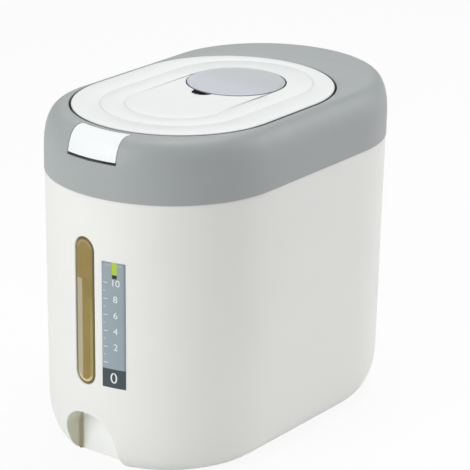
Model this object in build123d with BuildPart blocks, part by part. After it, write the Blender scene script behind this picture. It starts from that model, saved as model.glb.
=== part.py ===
"""Rice bucket with a rear-hinged lid, a front push flap and a desiccant cap.

Millimetres. The origin is the centre of the flat base, +Z is up, and the front faces -Y.
The bucket's plan has two straight sides and two round ends, and every shell round it is one section
carried along that plan.
"""

import os
from math import cos, radians, sin, sqrt

from build123d import *

os.makedirs("parts", exist_ok=True)

# Overall size
overall_length = 305.0
overall_width = 185.0
overall_height = 260.0
cut_past = 1.0
cut_depth = 75.0
foremost_y = -overall_length / 2
rearmost_y = overall_length / 2

# Bucket
bucket_below_top = 46.6
bucket_height = overall_height - bucket_below_top
bucket_setback = 0.5
bucket_draft = 2.1
bucket_wall = 2.5
bucket_floor = 3.0
base_round_run = 20.0
base_round_rise = 38.0
neck_height = 10.6
neck_gap = 0.2
neck_wall = 2.4
neck_slope = 6.0

# Finger recess low in the bucket's front
recess_x = -5.5
recess_width = 48.0
recess_height = 42.5
recess_corner = 22.0
recess_depth = 26.5
recess_back_y = foremost_y + recess_depth
recess_reach = 10.0

# Sight window and the label beside it
window_x = recess_x
window_width = 18.4
window_low_z = 66.6
window_below_collar = 32.4
window_height = bucket_height - window_below_collar - window_low_z
window_fit = 0.15
window_setback = 0.5
window_flange = 4.0
window_flange_thickness = 1.6
window_gasket_thickness = 1.0
window_gasket_fit = 0.1
label_gap = 7.2
label_width = 18.6
label_x = window_x + window_width / 2 + label_gap + label_width / 2
label_low_z = 69.5
label_below_collar = 46.5
label_height = bucket_height - label_below_collar - label_low_z
label_thickness = 0.3

# Collar
collar_skin = 2.4
collar_top_skin = 2.2
shoulder_below_top = 33.0
shoulder_low_z = overall_height - shoulder_below_top
shoulder_run = 14.5
shoulder_power = 2.5
collar_below_top = 1.2

# Lid opening, gutter and mouth inside the collar
lid_from_front = 22.95
lid_from_back = 61.35
lid_from_side = 13.6
lid_length = overall_length - lid_from_front - lid_from_back
lid_width = overall_width - 2 * lid_from_side
lid_y = (lid_from_front - lid_from_back) / 2
lid_gap = 1.2
well_wall = 2.0
gutter_below_top = 19.0
gutter_z = overall_height - gutter_below_top
gutter_thickness = 2.0
mouth_inset = 13.0
mouth_wall = 2.0
mouth_rise = 4.5

# Lid cover
lid_below_top = 0.8
cover_thickness = 2.2
cover_skirt = 2.0
cover_skirt_wall = 2.0
cover_edge_round = 0.9
groove_width = 0.9
groove_depth = 0.4
outer_groove_ends = 16.0
outer_groove_sides = 21.95
outer_groove_shift = 4.5
outer_groove_length = lid_length - 2 * outer_groove_ends
outer_groove_width = lid_width - 2 * outer_groove_sides
outer_groove_y = lid_y + outer_groove_shift
inner_groove_width = 78.0
inner_groove_from_front = 38.55
inner_groove_front_y = foremost_y + lid_from_front + inner_groove_from_front
inner_groove_stop = 2.5

# Lid liner and its gasket
liner_clearance = 2.5
liner_wall = 1.8
liner_floor = 2.0
liner_depth = 13.0
liner_flange = 6.0
liner_flange_thickness = 2.0
liner_flange_drop = 5.0
gasket_gap = 0.3
gasket_width = 5.6

# Desiccant cap, its seal and the cup under it
cap_diameter = 75.0
cap_shift = 38.7
cap_y = lid_y + cap_shift
cap_thickness = 1.8
cap_lip = 3.0
cap_edge = 0.6
cap_dish = 0.7
cap_rim = 2.5
cap_dish_slope = 7.0
cap_seat_depth = 1.2
cap_seat_ring = 6.0
cap_seat_drop = 2.5
cap_side_gap = 0.5
cap_travel_clear = 0.8
plug_depth = 5.6
plug_wall = 2.2
seal_wire = 1.0
seal_sink = 0.1
cup_wall = 1.7
cup_step = 0.2
cup_depth = 24.5
cup_floor = 1.6
cup_flange = 4.0
cup_hole = 2.6
cup_hole_rings = 3
cup_ring_step = 8.0
nail_notch_x = -5.6
nail_notch_radius = 9.0
nail_notch_reach = 4.5
nail_notch_depth = 1.4
nail_notch_lap = 1.0

# Latch: push flap, pin, slider, spring and housing
flap_width = 44.0
flap_below_top = 18.5
flap_from_front = 17.5
flap_low_z = overall_height - flap_below_top
flap_top_y = foremost_y + flap_from_front
flap_side_gap = 0.5
flap_bottom_gap = 2.0
flap_top_gap = 0.4
latch_pin_from_front = 14.0
latch_pin_below_top = 8.0
latch_pin_y = foremost_y + latch_pin_from_front
latch_pin_z = overall_height - latch_pin_below_top
latch_pin_radius = 1.25
running_clearance = 0.05
flap_lug_inset = 4.5
flap_lug_x = flap_width / 2 - flap_lug_inset
flap_lug_thickness = 3.0
flap_lug_radius = 2.3
flap_rib_width = 12.0
flap_rib_height = 2.8
flap_rib_above = 0.3
root_sink = 0.5
slider_below_top = 13.5
slider_z = overall_height - slider_below_top
slider_thickness = 2.5
slider_from_front = 7.3
slider_front_y = foremost_y + slider_from_front
slider_pad_width = 16.0
slider_pad_thickness = 2.0
slider_pad_drop = 6.5
slider_pad_low_z = slider_z - slider_pad_drop
slider_window_gap = 1.0
slider_side_bar = 3.5
slider_window_back = 14.7
slider_window_front_y = slider_front_y + slider_window_back
slider_bar = 1.7
slider_guide_gap = 0.3
slider_travel = 1.7
slider_end_gap = 0.45
push_gap = 0.3
catch_width = 14.0
slider_window_width = catch_width + 2 * slider_window_gap
slider_width = slider_window_width + 2 * slider_side_bar
catch_thickness = 2.2
catch_nose = 1.5
catch_nose_height = 2.7
catch_gap = 0.3
catch_drop_gap = 0.4
latch_tray_beside_flap = 3.0
latch_tray_width = flap_width + 2 * latch_tray_beside_flap
latch_tray_wall = 2.0
latch_tray_below_top = 24.0
latch_tray_behind_pin = 5.3
latch_tray_floor_z = overall_height - latch_tray_below_top
latch_tray_back_y = latch_pin_y + latch_tray_behind_pin
latch_tray_end_wall = 1.4
latch_tray_reach = 20.0
latch_tray_gap = 0.7
latch_tray_above_pin = 1.0
latch_lip = 1.6
latch_lip_gap = 0.5
cheek_top = 2.2
cheek_gap = 0.8
latch_spring_radius = 2.5
latch_spring_wire = 0.7
latch_spring_turns = 5
latch_spring_gap = 0.05
latch_spring_under = 0.25
latch_screw_beside_tray = 5.5
latch_screw_x = latch_tray_width / 2 + latch_screw_beside_tray
latch_screw_behind_pin = 3.5
latch_screw_y = latch_pin_y + latch_screw_behind_pin
latch_boss_below_top = 14.0
latch_boss_low_z = overall_height - latch_boss_below_top

# Screws, all of one size
screw_radius = 1.25
screw_head_radius = 2.6
screw_head = 2.0
screw_length = 7.5
screw_hole_extra = 0.5
driver_length = 3.2
driver_width = 0.7
driver_depth = 1.6
boss_radius = 3.3
ear_thickness = 2.0

# Lid hinge: curved arms, pin, springs and housing
hinge_from_back = 38.5
hinge_below_top = 8.0
hinge_y = rearmost_y - hinge_from_back
hinge_z = overall_height - hinge_below_top
hinge_pin_radius = 2.0
hinge_eye_radius = 4.2
arm_inner_radius = 27.0
arm_thickness = 4.0
arm_width = 6.0
arm_x = 12.0
arm_sweep = 100.0
arm_spoke = 5.0
bracket_inset = 2.5
bracket_width = 68.0
bracket_radial = 11.9
bracket_thickness = 2.6
bracket_screw_from_end = 7.0
bracket_screw_x = bracket_width / 2 - bracket_screw_from_end
bracket_screw_inset = 8.4
bracket_screw_radius = lid_width / 2 - bracket_screw_inset
bracket_screw_length = 4.0
arm_slot_gap = 1.0
arm_outer_radius = arm_inner_radius + arm_thickness
hinge_spring_beside_arm = 8.0
hinge_spring_x = arm_x + hinge_spring_beside_arm
hinge_box_beside_spring = 7.0
hinge_box_width = 2 * (hinge_spring_x + hinge_box_beside_spring)
hinge_box_wall = 2.0
hinge_box_well_gap = 0.1
hinge_box_arm_gap = 1.4
hinge_box_behind_pin = 10.4
hinge_box_front_y = hinge_y - arm_outer_radius - hinge_box_arm_gap
hinge_box_back_y = hinge_y + hinge_box_behind_pin
hinge_box_low_z = hinge_z - arm_outer_radius - hinge_box_arm_gap - hinge_box_wall
hinge_screw_beside_box = 5.0
hinge_screw_x = hinge_box_width / 2 + hinge_screw_beside_box
hinge_screw_before_pin = 16.0
hinge_screw_behind_pin = 7.0
hinge_screw_ys = (hinge_y - hinge_screw_before_pin, hinge_y + hinge_screw_behind_pin)
hinge_boss_below_top = 11.0
hinge_boss_low_z = overall_height - hinge_boss_below_top
hinge_spring_radius = 3.1
hinge_spring_wire = 1.0
hinge_spring_turns = 4.5
hinge_spring_pitch = 1.2
hinge_spring_leg = 24.0
pin_head = 1.2
pin_head_extra = 1.2

# Places that follow from the sizes above
end_radius = overall_width / 2
end_y = (overall_length - overall_width) / 2
collar_top_z = overall_height - collar_below_top
collar_under_z = collar_top_z - collar_top_skin
lid_top_z = overall_height - lid_below_top
lid_under_z = lid_top_z - cover_thickness
lid_end_radius = lid_width / 2
lid_end_y = (lid_length - lid_width) / 2
lid_back_centre_y = lid_y + lid_end_y
gutter_top_z = gutter_z + gutter_thickness
mouth_top_z = gutter_top_z + mouth_rise
liner_inset = mouth_inset + liner_clearance
liner_low_z = lid_under_z - liner_depth
flange_low_z = lid_under_z - liner_flange_drop - liner_flange_thickness
cap_radius = cap_diameter / 2
cap_seat_z = lid_top_z - cap_seat_depth
cap_under_z = overall_height - cap_thickness
cap_hole_radius = cap_radius - cap_lip
cup_inner_radius = cap_hole_radius - cup_step
cup_radius = cup_inner_radius + cup_wall
cup_top_z = lid_under_z - cap_seat_drop
plug_radius = cap_hole_radius - cap_travel_clear
neck_radius = end_radius - collar_skin - neck_gap
gasket_front_y = lid_y - lid_length / 2 + liner_inset - gasket_width
slider_back_y = gasket_front_y - slider_travel - slider_end_gap
slider_bar_front_y = slider_back_y - slider_bar
flap_rib_y = slider_front_y - push_gap


def wall_radius(z):
    """Radius of the bucket's round ends at a height, with its draft."""
    return end_radius - bucket_setback - bucket_draft * (bucket_height - z) / bucket_height


def section(lines):
    """Face on the XZ plane between the lines that the given function draws."""
    with BuildSketch(Plane.XZ) as sketch:
        with BuildLine():
            lines()
        make_face()
    return sketch.sketch.face()


def carry_round(face, front_y=-end_y, back_y=end_y, mode=Mode.ADD):
    """Carry a section, drawn for x from 0 up, round a plan with straight sides and round ends."""
    up = (0, 0, 1)
    front = face.moved(Location((0, front_y, 0)))
    back = face.moved(Location((0, back_y, 0)))
    revolve(front, axis=Axis((0, front_y, 0), up), revolution_arc=-180, mode=mode)
    revolve(back, axis=Axis((0, back_y, 0), up), revolution_arc=180, mode=mode)
    extrude(front, amount=back_y - front_y, dir=(0, 1, 0), mode=mode)
    extrude(front.mirror(Plane.YZ), amount=back_y - front_y, dir=(0, 1, 0), mode=mode)


def shoulder_points(radius, top_radius, top_z, count=7):
    """Points up a rounded shoulder, a superellipse quarter from the wall to the flat top."""
    points = []
    for step in range(count):
        turn = radians(90 * step / (count - 1))
        inward = (radius - top_radius) * (1 - cos(turn) ** (2 / shoulder_power))
        upward = (top_z - shoulder_low_z) * sin(turn) ** (2 / shoulder_power)
        points.append((radius - inward, shoulder_low_z + upward))
    return points


def shoulder_radius(z):
    """Radius of the hollow under the collar's shoulder at a height, from the same superellipse."""
    if z <= shoulder_low_z:
        return end_radius - collar_skin
    rise = (z - shoulder_low_z) / (collar_under_z - shoulder_low_z)
    inward = 1 - (1 - rise**shoulder_power) ** (1 / shoulder_power)
    return end_radius - collar_skin - (shoulder_run - collar_skin) * inward


def collar_lines(radius, low_z, top_z):
    """Half outline of the collar's block, or of the hollow in it."""
    top_radius = end_radius - shoulder_run
    curve = shoulder_points(radius, top_radius, top_z)
    Polyline((0, low_z), (radius, low_z), curve[0])
    Spline(curve, tangents=[(0, 1), (-1, 0)])
    Polyline(curve[-1], (0, top_z), (0, low_z))


def bucket_lines(inset, low_z, top_z, neck):
    """Half outline of the bucket's block, or of the hollow in it, drawn in by the inset."""
    corner = (wall_radius(base_round_rise) - base_round_run, base_round_rise)
    run = base_round_run - inset
    rise = base_round_rise - low_z
    Line((0, low_z), (corner[0], low_z))
    EllipticalCenterArc(corner, run, rise, start_angle=-90, arc_size=90)
    Polyline((corner[0] + run, base_round_rise), *neck, (0, top_z), (0, low_z))


def strip_lines(inner, outer, low_z, top_z):
    """Outline of a thin band that follows the bucket's drafted wall, from one offset to another."""
    low = wall_radius(low_z)
    high = wall_radius(top_z)
    corners = [(low + inner, low_z), (low + outer, low_z), (high + outer, top_z), (high + inner, top_z)]
    Polyline(*corners, corners[0])


def round_plan(length, width, mode=Mode.ADD):
    """Plan with two straight sides and two round ends, its length along Y."""
    SlotOverall(length, width, rotation=90, mode=mode)


def lid_plan(inset, mode=Mode.ADD):
    """Plan of the lid, drawn in or let out on all sides."""
    with Locations((0, lid_y)):
        round_plan(lid_length - 2 * inset, lid_width - 2 * inset, mode)


def groove_plan(length, width, centre_y):
    """Plan of a groove in the lid: a narrow band along a rounded outline."""
    with Locations((0, centre_y)):
        round_plan(length, width)
        round_plan(length - 2 * groove_width, width - 2 * groove_width, Mode.SUBTRACT)


def recess_arch(grow):
    """Front outline of the finger recess, let out by the given wall."""
    height = recess_height + grow + recess_reach
    with Locations((recess_x, height / 2 - recess_reach)):
        arch = Rectangle(recess_width + 2 * grow, height)
    fillet(arch.vertices().group_by(Axis.Y)[-1], recess_corner + grow)


def front_slot(grow):
    """Front outline of the sight window, let out or drawn in."""
    with Locations((window_x, window_low_z + window_height / 2)):
        SlotOverall(window_height + 2 * grow, window_width + 2 * grow, rotation=90)


# Bucket: an open shell with a neck that the collar sits over
neck_top_z = bucket_height + neck_height
outer_neck = [
    (wall_radius(bucket_height), bucket_height),
    (neck_radius, bucket_height),
    (neck_radius, neck_top_z),
]
inner_neck = [
    (wall_radius(bucket_height - 2 * neck_slope) - bucket_wall, bucket_height - 2 * neck_slope),
    (neck_radius - neck_wall, bucket_height - neck_slope),
    (neck_radius - neck_wall, neck_top_z + cut_past),
]

with BuildPart() as bucket_hollow:
    hollow_top_z = neck_top_z + cut_past
    carry_round(section(lambda: bucket_lines(bucket_wall, bucket_floor, hollow_top_z, inner_neck)))
    with BuildSketch(Plane.XZ.offset(-recess_back_y - bucket_wall)) as recess_shell:
        recess_arch(bucket_wall)
    extrude(amount=cut_depth, mode=Mode.SUBTRACT)

with BuildPart() as bucket:
    carry_round(section(lambda: bucket_lines(0, 0, neck_top_z, outer_neck)))
    with BuildSketch(Plane.XZ.offset(-recess_back_y)) as recess_cut:
        recess_arch(0)
    extrude(amount=cut_depth, mode=Mode.SUBTRACT)
    add(bucket_hollow.part, mode=Mode.SUBTRACT)
    with BuildSketch(Plane.XZ.offset(end_y)) as window_cut:
        front_slot(0)
    extrude(amount=overall_length / 2, mode=Mode.SUBTRACT)

bucket.part.label = "bucket"
export_step(bucket.part, "parts/bucket.step")

# Sight window: a clear strip in the slot, with a flange behind the wall
window_top_z = window_low_z + window_height
flange_low = window_low_z - 2 * window_flange
flange_top = window_top_z + 2 * window_flange
flange_outer = -bucket_wall - window_gasket_thickness
flange_inner = flange_outer - window_flange_thickness

with BuildPart() as window_pane:
    carry_round(section(lambda: strip_lines(flange_inner, -window_setback, flange_low, flange_top)))
    with BuildSketch(Plane.XZ.offset(end_y)) as pane_outline:
        front_slot(-window_fit)
    extrude(amount=overall_length / 2, mode=Mode.INTERSECT)

with BuildPart() as sight_window:
    carry_round(section(lambda: strip_lines(flange_inner, flange_outer, flange_low, flange_top)))
    with BuildSketch(Plane.XZ.offset(end_y)) as flange_outline:
        front_slot(window_flange)
    extrude(amount=overall_length / 2, mode=Mode.INTERSECT)
    add(window_pane.part)

sight_window.part.label = "sight_window"
export_step(sight_window.part, "parts/sight_window.step")

# Window gasket: a flat ring between the flange and the wall
with BuildPart() as window_gasket:
    gasket_outer = -bucket_wall - window_gasket_fit
    carry_round(section(lambda: strip_lines(flange_outer, gasket_outer, flange_low, flange_top)))
    with BuildSketch(Plane.XZ.offset(end_y)) as gasket_outline:
        front_slot(window_flange)
        with Locations((window_x, window_low_z + window_height / 2)):
            SlotOverall(window_height, window_width, rotation=90, mode=Mode.SUBTRACT)
    extrude(amount=overall_length / 2, mode=Mode.INTERSECT)

window_gasket.part.label = "window_gasket"
export_step(window_gasket.part, "parts/window_gasket.step")

# Level label: a thin strip stuck on the wall beside the window
label_top_z = label_low_z + label_height
with BuildPart() as level_label:
    carry_round(section(lambda: strip_lines(0, label_thickness, label_low_z, label_top_z)))
    with BuildSketch(Plane.XZ.offset(end_y)) as label_outline:
        with Locations((label_x, label_low_z + label_height / 2)):
            Rectangle(label_width, label_height)
    extrude(amount=overall_length / 2, mode=Mode.INTERSECT)

level_label.part.label = "level_label"
export_step(level_label.part, "parts/level_label.step")

# Collar: a skin with a rounded shoulder, the lid's well, a gutter and the rim of the mouth
collar_inner_radius = end_radius - collar_skin
latch_bosses = [(-latch_screw_x, latch_screw_y), (latch_screw_x, latch_screw_y)]
hinge_bosses = [(side * hinge_screw_x, y) for side in (-1, 1) for y in hinge_screw_ys]

with BuildPart() as collar_hollow:
    carry_round(section(lambda: collar_lines(collar_inner_radius, bucket_height, collar_under_z)))
    with BuildSketch(Plane.XY.offset(latch_boss_low_z)) as latch_boss_plan:
        with Locations(*latch_bosses):
            Circle(boss_radius)
    extrude(amount=overall_height - latch_boss_low_z, mode=Mode.SUBTRACT)
    with BuildSketch(Plane.XY.offset(hinge_boss_low_z)) as hinge_boss_plan:
        with Locations(*hinge_bosses):
            Circle(boss_radius)
    extrude(amount=overall_height - hinge_boss_low_z, mode=Mode.SUBTRACT)
    with BuildSketch(Plane.XY.offset(gutter_z)) as well_block:
        lid_plan(-lid_gap - well_wall)
    extrude(amount=overall_height - gutter_z, mode=Mode.SUBTRACT)

with BuildPart() as collar:
    carry_round(section(lambda: collar_lines(end_radius, bucket_height, collar_top_z)))
    add(collar_hollow.part, mode=Mode.SUBTRACT)
    with BuildSketch(Plane.XY.offset(gutter_top_z)) as well:
        lid_plan(-lid_gap)
        lid_plan(mouth_inset - mouth_wall, Mode.SUBTRACT)
    extrude(amount=overall_height - gutter_top_z, mode=Mode.SUBTRACT)
    with BuildSketch(Plane.XY.offset(mouth_top_z)) as above_mouth:
        lid_plan(mouth_inset - mouth_wall)
    extrude(amount=overall_height - mouth_top_z, mode=Mode.SUBTRACT)
    with BuildSketch(Plane.XY.offset(gutter_z)) as mouth:
        lid_plan(mouth_inset)
    extrude(amount=overall_height - gutter_z, mode=Mode.SUBTRACT)
    # opening for the push flap
    flap_open_low = flap_low_z - flap_bottom_gap
    flap_open_height = overall_height - flap_open_low
    with BuildSketch(Plane.XZ.offset(-flap_top_y - flap_top_gap)) as flap_opening:
        with Locations((0, flap_open_low + flap_open_height / 2)):
            Rectangle(flap_width + 2 * flap_side_gap, flap_open_height)
    extrude(amount=cut_depth, mode=Mode.SUBTRACT)
    # slot for the latch slider through the well's front wall
    with BuildSketch(Plane.XZ.offset(end_y)) as slider_slot:
        with Locations((0, slider_z + slider_thickness / 2)):
            Rectangle(slider_width + 4 * slider_guide_gap, slider_thickness + 2 * slider_guide_gap)
    extrude(amount=-latch_tray_back_y - end_y, mode=Mode.SUBTRACT)
    # slots for the lid's curved arms through the gutter and the well's back wall
    slot_front_y = hinge_y - arm_outer_radius - arm_slot_gap
    slot_back_y = lid_y + lid_length / 2 + lid_gap + well_wall + arm_slot_gap
    with BuildSketch(Plane.XY.offset(gutter_z)) as arm_slots:
        with Locations(
            (-arm_x, (slot_front_y + slot_back_y) / 2),
            (arm_x, (slot_front_y + slot_back_y) / 2),
        ):
            Rectangle(arm_width + 2 * arm_slot_gap, slot_back_y - slot_front_y)
    extrude(amount=collar_under_z - gutter_z, mode=Mode.SUBTRACT)
    # blind screw holes up into the bosses
    with BuildSketch(Plane.XY.offset(latch_boss_low_z)) as latch_screw_holes:
        with Locations(*latch_bosses):
            Circle(screw_radius)
    extrude(amount=screw_length - ear_thickness + screw_hole_extra, mode=Mode.SUBTRACT)
    with BuildSketch(Plane.XY.offset(hinge_boss_low_z)) as hinge_screw_holes:
        with Locations(*hinge_bosses):
            Circle(screw_radius)
    extrude(amount=screw_length - ear_thickness + screw_hole_extra, mode=Mode.SUBTRACT)

collar.part.label = "collar"
export_step(collar.part, "parts/collar.step")

# Lid cover: a flush plate with a skirt, two grooves, the cap's seat and the latch catch
catch_front_y = slider_bar_front_y - catch_gap - catch_nose - catch_thickness
catch_low_z = slider_z - catch_drop_gap - catch_nose_height
inner_groove_back_y = cap_y + inner_groove_width / 2
bracket_screw_y = lid_back_centre_y + sqrt(bracket_screw_radius**2 - bracket_screw_x**2)
bracket_screw_places = [(-bracket_screw_x, bracket_screw_y), (bracket_screw_x, bracket_screw_y)]

with BuildPart() as lid_cover:
    with BuildSketch(Plane.XY.offset(lid_under_z)) as cover_plan:
        lid_plan(0)
    extrude(amount=cover_thickness)
    fillet(lid_cover.faces().sort_by(Axis.Z)[-1].edges(), cover_edge_round)
    with BuildSketch(Plane.XY.offset(lid_under_z - cover_skirt)) as skirt_plan:
        lid_plan(0)
        lid_plan(cover_skirt_wall, Mode.SUBTRACT)
    extrude(amount=cover_skirt)
    with BuildSketch(Plane.XY.offset(cup_top_z)) as seat_ring:
        with Locations((0, cap_y)):
            Circle(cap_radius + cap_seat_ring)
    extrude(amount=lid_under_z - cup_top_z)
    with BuildSketch(Plane.XY.offset(cap_seat_z)) as cap_seat:
        with Locations((0, cap_y)):
            Circle(cap_radius + cap_side_gap)
    extrude(amount=cap_seat_depth, mode=Mode.SUBTRACT)
    with BuildSketch(Plane.XY.offset(cup_top_z)) as cap_hole:
        with Locations((0, cap_y)):
            Circle(cap_hole_radius)
    extrude(amount=overall_height - cup_top_z, mode=Mode.SUBTRACT)
    notch_y = cap_y - cap_radius - nail_notch_reach + nail_notch_radius
    with BuildSketch(Plane.XY.offset(lid_top_z - nail_notch_depth)) as nail_notch:
        with Locations((nail_notch_x, notch_y)):
            Circle(nail_notch_radius)
        with Locations((0, cap_y)):
            Circle(cap_radius - nail_notch_lap, mode=Mode.SUBTRACT)
    extrude(amount=nail_notch_depth, mode=Mode.SUBTRACT)
    with BuildSketch(Plane.XY.offset(lid_top_z - groove_depth)) as outer_groove:
        groove_plan(outer_groove_length, outer_groove_width, outer_groove_y)
    extrude(amount=groove_depth, mode=Mode.SUBTRACT)
    inner_groove_length = inner_groove_back_y - inner_groove_front_y
    with BuildSketch(Plane.XY.offset(lid_top_z - groove_depth)) as inner_groove:
        inner_groove_y = (inner_groove_back_y + inner_groove_front_y) / 2
        groove_plan(inner_groove_length, inner_groove_width, inner_groove_y)
        with Locations((0, cap_y)):
            Circle(cap_radius + inner_groove_stop, mode=Mode.SUBTRACT)
    extrude(amount=groove_depth, mode=Mode.SUBTRACT)
    with BuildSketch(Plane.XY.offset(catch_low_z)) as catch_plan:
        with Locations((0, catch_front_y + catch_thickness / 2)):
            Rectangle(catch_width, catch_thickness)
    extrude(amount=lid_under_z - catch_low_z)
    with BuildSketch(Plane.XY.offset(catch_low_z)) as nose_plan:
        with Locations((0, catch_front_y + (catch_thickness + catch_nose) / 2)):
            Rectangle(catch_width, catch_thickness + catch_nose)
    extrude(amount=catch_nose_height)
    with BuildSketch(Plane.XY.offset(lid_under_z)) as bracket_holes:
        with Locations(*bracket_screw_places):
            Circle(screw_radius)
    extrude(amount=bracket_screw_length - bracket_thickness, mode=Mode.SUBTRACT)

lid_cover.part.label = "lid_cover"
export_step(lid_cover.part, "parts/lid_cover.step")

# Lid liner: the tray under the cover, with a flange over the mouth's rim
with BuildPart() as lid_liner:
    with BuildSketch(Plane.XY.offset(liner_low_z)) as liner_plan:
        lid_plan(liner_inset)
    extrude(amount=lid_under_z - liner_low_z)
    with BuildSketch(Plane.XY.offset(flange_low_z)) as liner_flange_plan:
        lid_plan(liner_inset - liner_flange)
    extrude(amount=liner_flange_thickness)
    with BuildSketch(Plane.XY.offset(liner_low_z + liner_floor)) as liner_hollow:
        lid_plan(liner_inset + liner_wall)
    extrude(amount=liner_depth, mode=Mode.SUBTRACT)
    with BuildSketch(Plane.XY.offset(liner_low_z)) as cup_hole_plan:
        with Locations((0, cap_y)):
            Circle(cup_radius)
    extrude(amount=liner_floor, mode=Mode.SUBTRACT)

lid_liner.part.label = "lid_liner"
export_step(lid_liner.part, "parts/lid_liner.step")

# Lid gasket: a soft ring under the liner's flange
gasket_low_z = mouth_top_z + gasket_gap
with BuildPart() as lid_gasket:
    with BuildSketch(Plane.XY.offset(gasket_low_z)) as gasket_plan:
        lid_plan(liner_inset - gasket_width)
        lid_plan(liner_inset, Mode.SUBTRACT)
    extrude(amount=flange_low_z - gasket_low_z)

lid_gasket.part.label = "lid_gasket"
export_step(lid_gasket.part, "parts/lid_gasket.step")

# Desiccant cup: hangs through the liner, with small holes in its floor
cup_low_z = cup_top_z - cup_depth
with BuildPart() as desiccant_cup:
    with BuildSketch(Plane.XY.offset(cup_low_z)) as cup_plan:
        with Locations((0, cap_y)):
            Circle(cup_radius)
    extrude(amount=cup_depth)
    with BuildSketch(Plane.XY.offset(liner_low_z + liner_floor)) as cup_flange_plan:
        with Locations((0, cap_y)):
            Circle(cup_radius + cup_flange)
    extrude(amount=cup_floor)
    with BuildSketch(Plane.XY.offset(cup_low_z + cup_floor)) as cup_hollow:
        with Locations((0, cap_y)):
            Circle(cup_inner_radius)
    extrude(amount=cup_depth, mode=Mode.SUBTRACT)
    with BuildSketch(Plane.XY.offset(cup_low_z)) as cup_holes:
        with Locations((0, cap_y)):
            Circle(cup_hole / 2)
            for ring in range(1, cup_hole_rings + 1):
                with PolarLocations(ring * cup_ring_step, 6 * ring):
                    Circle(cup_hole / 2)
    extrude(amount=cup_floor, mode=Mode.SUBTRACT)

desiccant_cup.part.label = "desiccant_cup"
export_step(desiccant_cup.part, "parts/desiccant_cup.step")

# Desiccant cap: a dished disc with a plug that holds the seal
plug_low_z = cap_under_z - plug_depth
seal_z = plug_low_z + plug_depth / 2
seal_radius = plug_radius - seal_sink
dish_radius = cap_radius - cap_rim
with BuildPart() as desiccant_cap:
    with BuildSketch(Plane.XZ) as cap_section:
        with BuildLine():
            Polyline(
                (0, overall_height - cap_dish),
                (0, cap_under_z),
                (plug_radius - plug_wall, cap_under_z),
                (plug_radius - plug_wall, plug_low_z),
                (plug_radius, plug_low_z),
                (plug_radius, cap_under_z),
                (cap_radius, cap_under_z),
                (cap_radius, overall_height - cap_edge),
                (cap_radius - cap_edge, overall_height),
                (dish_radius, overall_height),
                (dish_radius - cap_dish_slope, overall_height - cap_dish),
                (0, overall_height - cap_dish),
            )
        make_face()
        with Locations((seal_radius, seal_z)):
            Circle(seal_wire / 2, mode=Mode.SUBTRACT)
    revolve(cap_section.sketch.face().moved(Location((0, cap_y, 0))), axis=Axis((0, cap_y, 0), (0, 0, 1)))

desiccant_cap.part.label = "desiccant_cap"
export_step(desiccant_cap.part, "parts/desiccant_cap.step")

# Cap seal: a round ring in the plug's groove
with BuildPart() as cap_seal:
    with Locations((0, cap_y, seal_z)):
        Torus(seal_radius, seal_wire / 2)

cap_seal.part.label = "cap_seal"
export_step(cap_seal.part, "parts/cap_seal.step")

# Latch button: a piece of the collar's shoulder that turns on a pin near its top edge
with BuildPart() as latch_button:
    carry_round(section(lambda: collar_lines(end_radius, bucket_height, collar_top_z)))
    carry_round(
        section(lambda: collar_lines(collar_inner_radius, bucket_height, collar_under_z)),
        mode=Mode.SUBTRACT,
    )
    flap_height = overall_height - flap_low_z
    with BuildSketch(Plane.XZ.offset(-flap_top_y)) as flap_outline:
        with Locations((0, flap_low_z + flap_height / 2)):
            Rectangle(flap_width, flap_height)
    extrude(amount=cut_depth, mode=Mode.INTERSECT)
    for side in (-1, 1):
        lug_plane = Plane.YZ.offset(side * flap_lug_x - flap_lug_thickness / 2)
        with BuildSketch(lug_plane) as lug:
            with Locations((latch_pin_y, latch_pin_z)):
                Circle(flap_lug_radius)
            lug_top = collar_under_z + root_sink
            with Locations((latch_pin_y, (latch_pin_z + lug_top) / 2)):
                Rectangle(2 * flap_lug_radius, lug_top - latch_pin_z)
            with Locations((latch_pin_y, latch_pin_z)):
                Circle(latch_pin_radius + running_clearance, mode=Mode.SUBTRACT)
        extrude(amount=flap_lug_thickness)
    # rib that pushes the slider's pad
    rib_root_y = root_sink - end_y - collar_inner_radius
    with Locations((0, rib_root_y, flap_low_z + flap_rib_above)):
        Box(
            flap_rib_width,
            flap_rib_y - rib_root_y,
            flap_rib_height,
            align=(Align.CENTER, Align.MIN, Align.MIN),
        )

latch_button.part.label = "latch_button"
export_step(latch_button.part, "parts/latch_button.step")

# Latch pin: the flap's axle, held in the tray's two cheeks
with BuildPart() as latch_pin:
    with Locations((0, latch_pin_y, latch_pin_z)):
        Cylinder(latch_pin_radius, latch_tray_width, rotation=(0, 90, 0))

latch_pin.part.label = "latch_pin"
export_step(latch_pin.part, "parts/latch_pin.step")

# Latch slider: a plate with a window for the lid's catch and a pad for the flap's rib
with BuildPart() as latch_slider:
    slider_length = slider_back_y - slider_front_y
    with BuildSketch(Plane.XY.offset(slider_z)) as slider_plan:
        with Locations((0, (slider_front_y + slider_back_y) / 2)):
            Rectangle(slider_width, slider_length)
        window_length = slider_bar_front_y - slider_window_front_y
        with Locations((0, slider_window_front_y + window_length / 2)):
            Rectangle(slider_window_width, window_length, mode=Mode.SUBTRACT)
    extrude(amount=slider_thickness)
    pad_height = slider_z + slider_thickness - slider_pad_low_z
    with Locations((0, slider_front_y, slider_pad_low_z)):
        Box(
            slider_pad_width,
            slider_pad_thickness,
            pad_height,
            align=(Align.CENTER, Align.MIN, Align.MIN),
        )

latch_slider.part.label = "latch_slider"
export_step(latch_slider.part, "parts/latch_slider.step")

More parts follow.
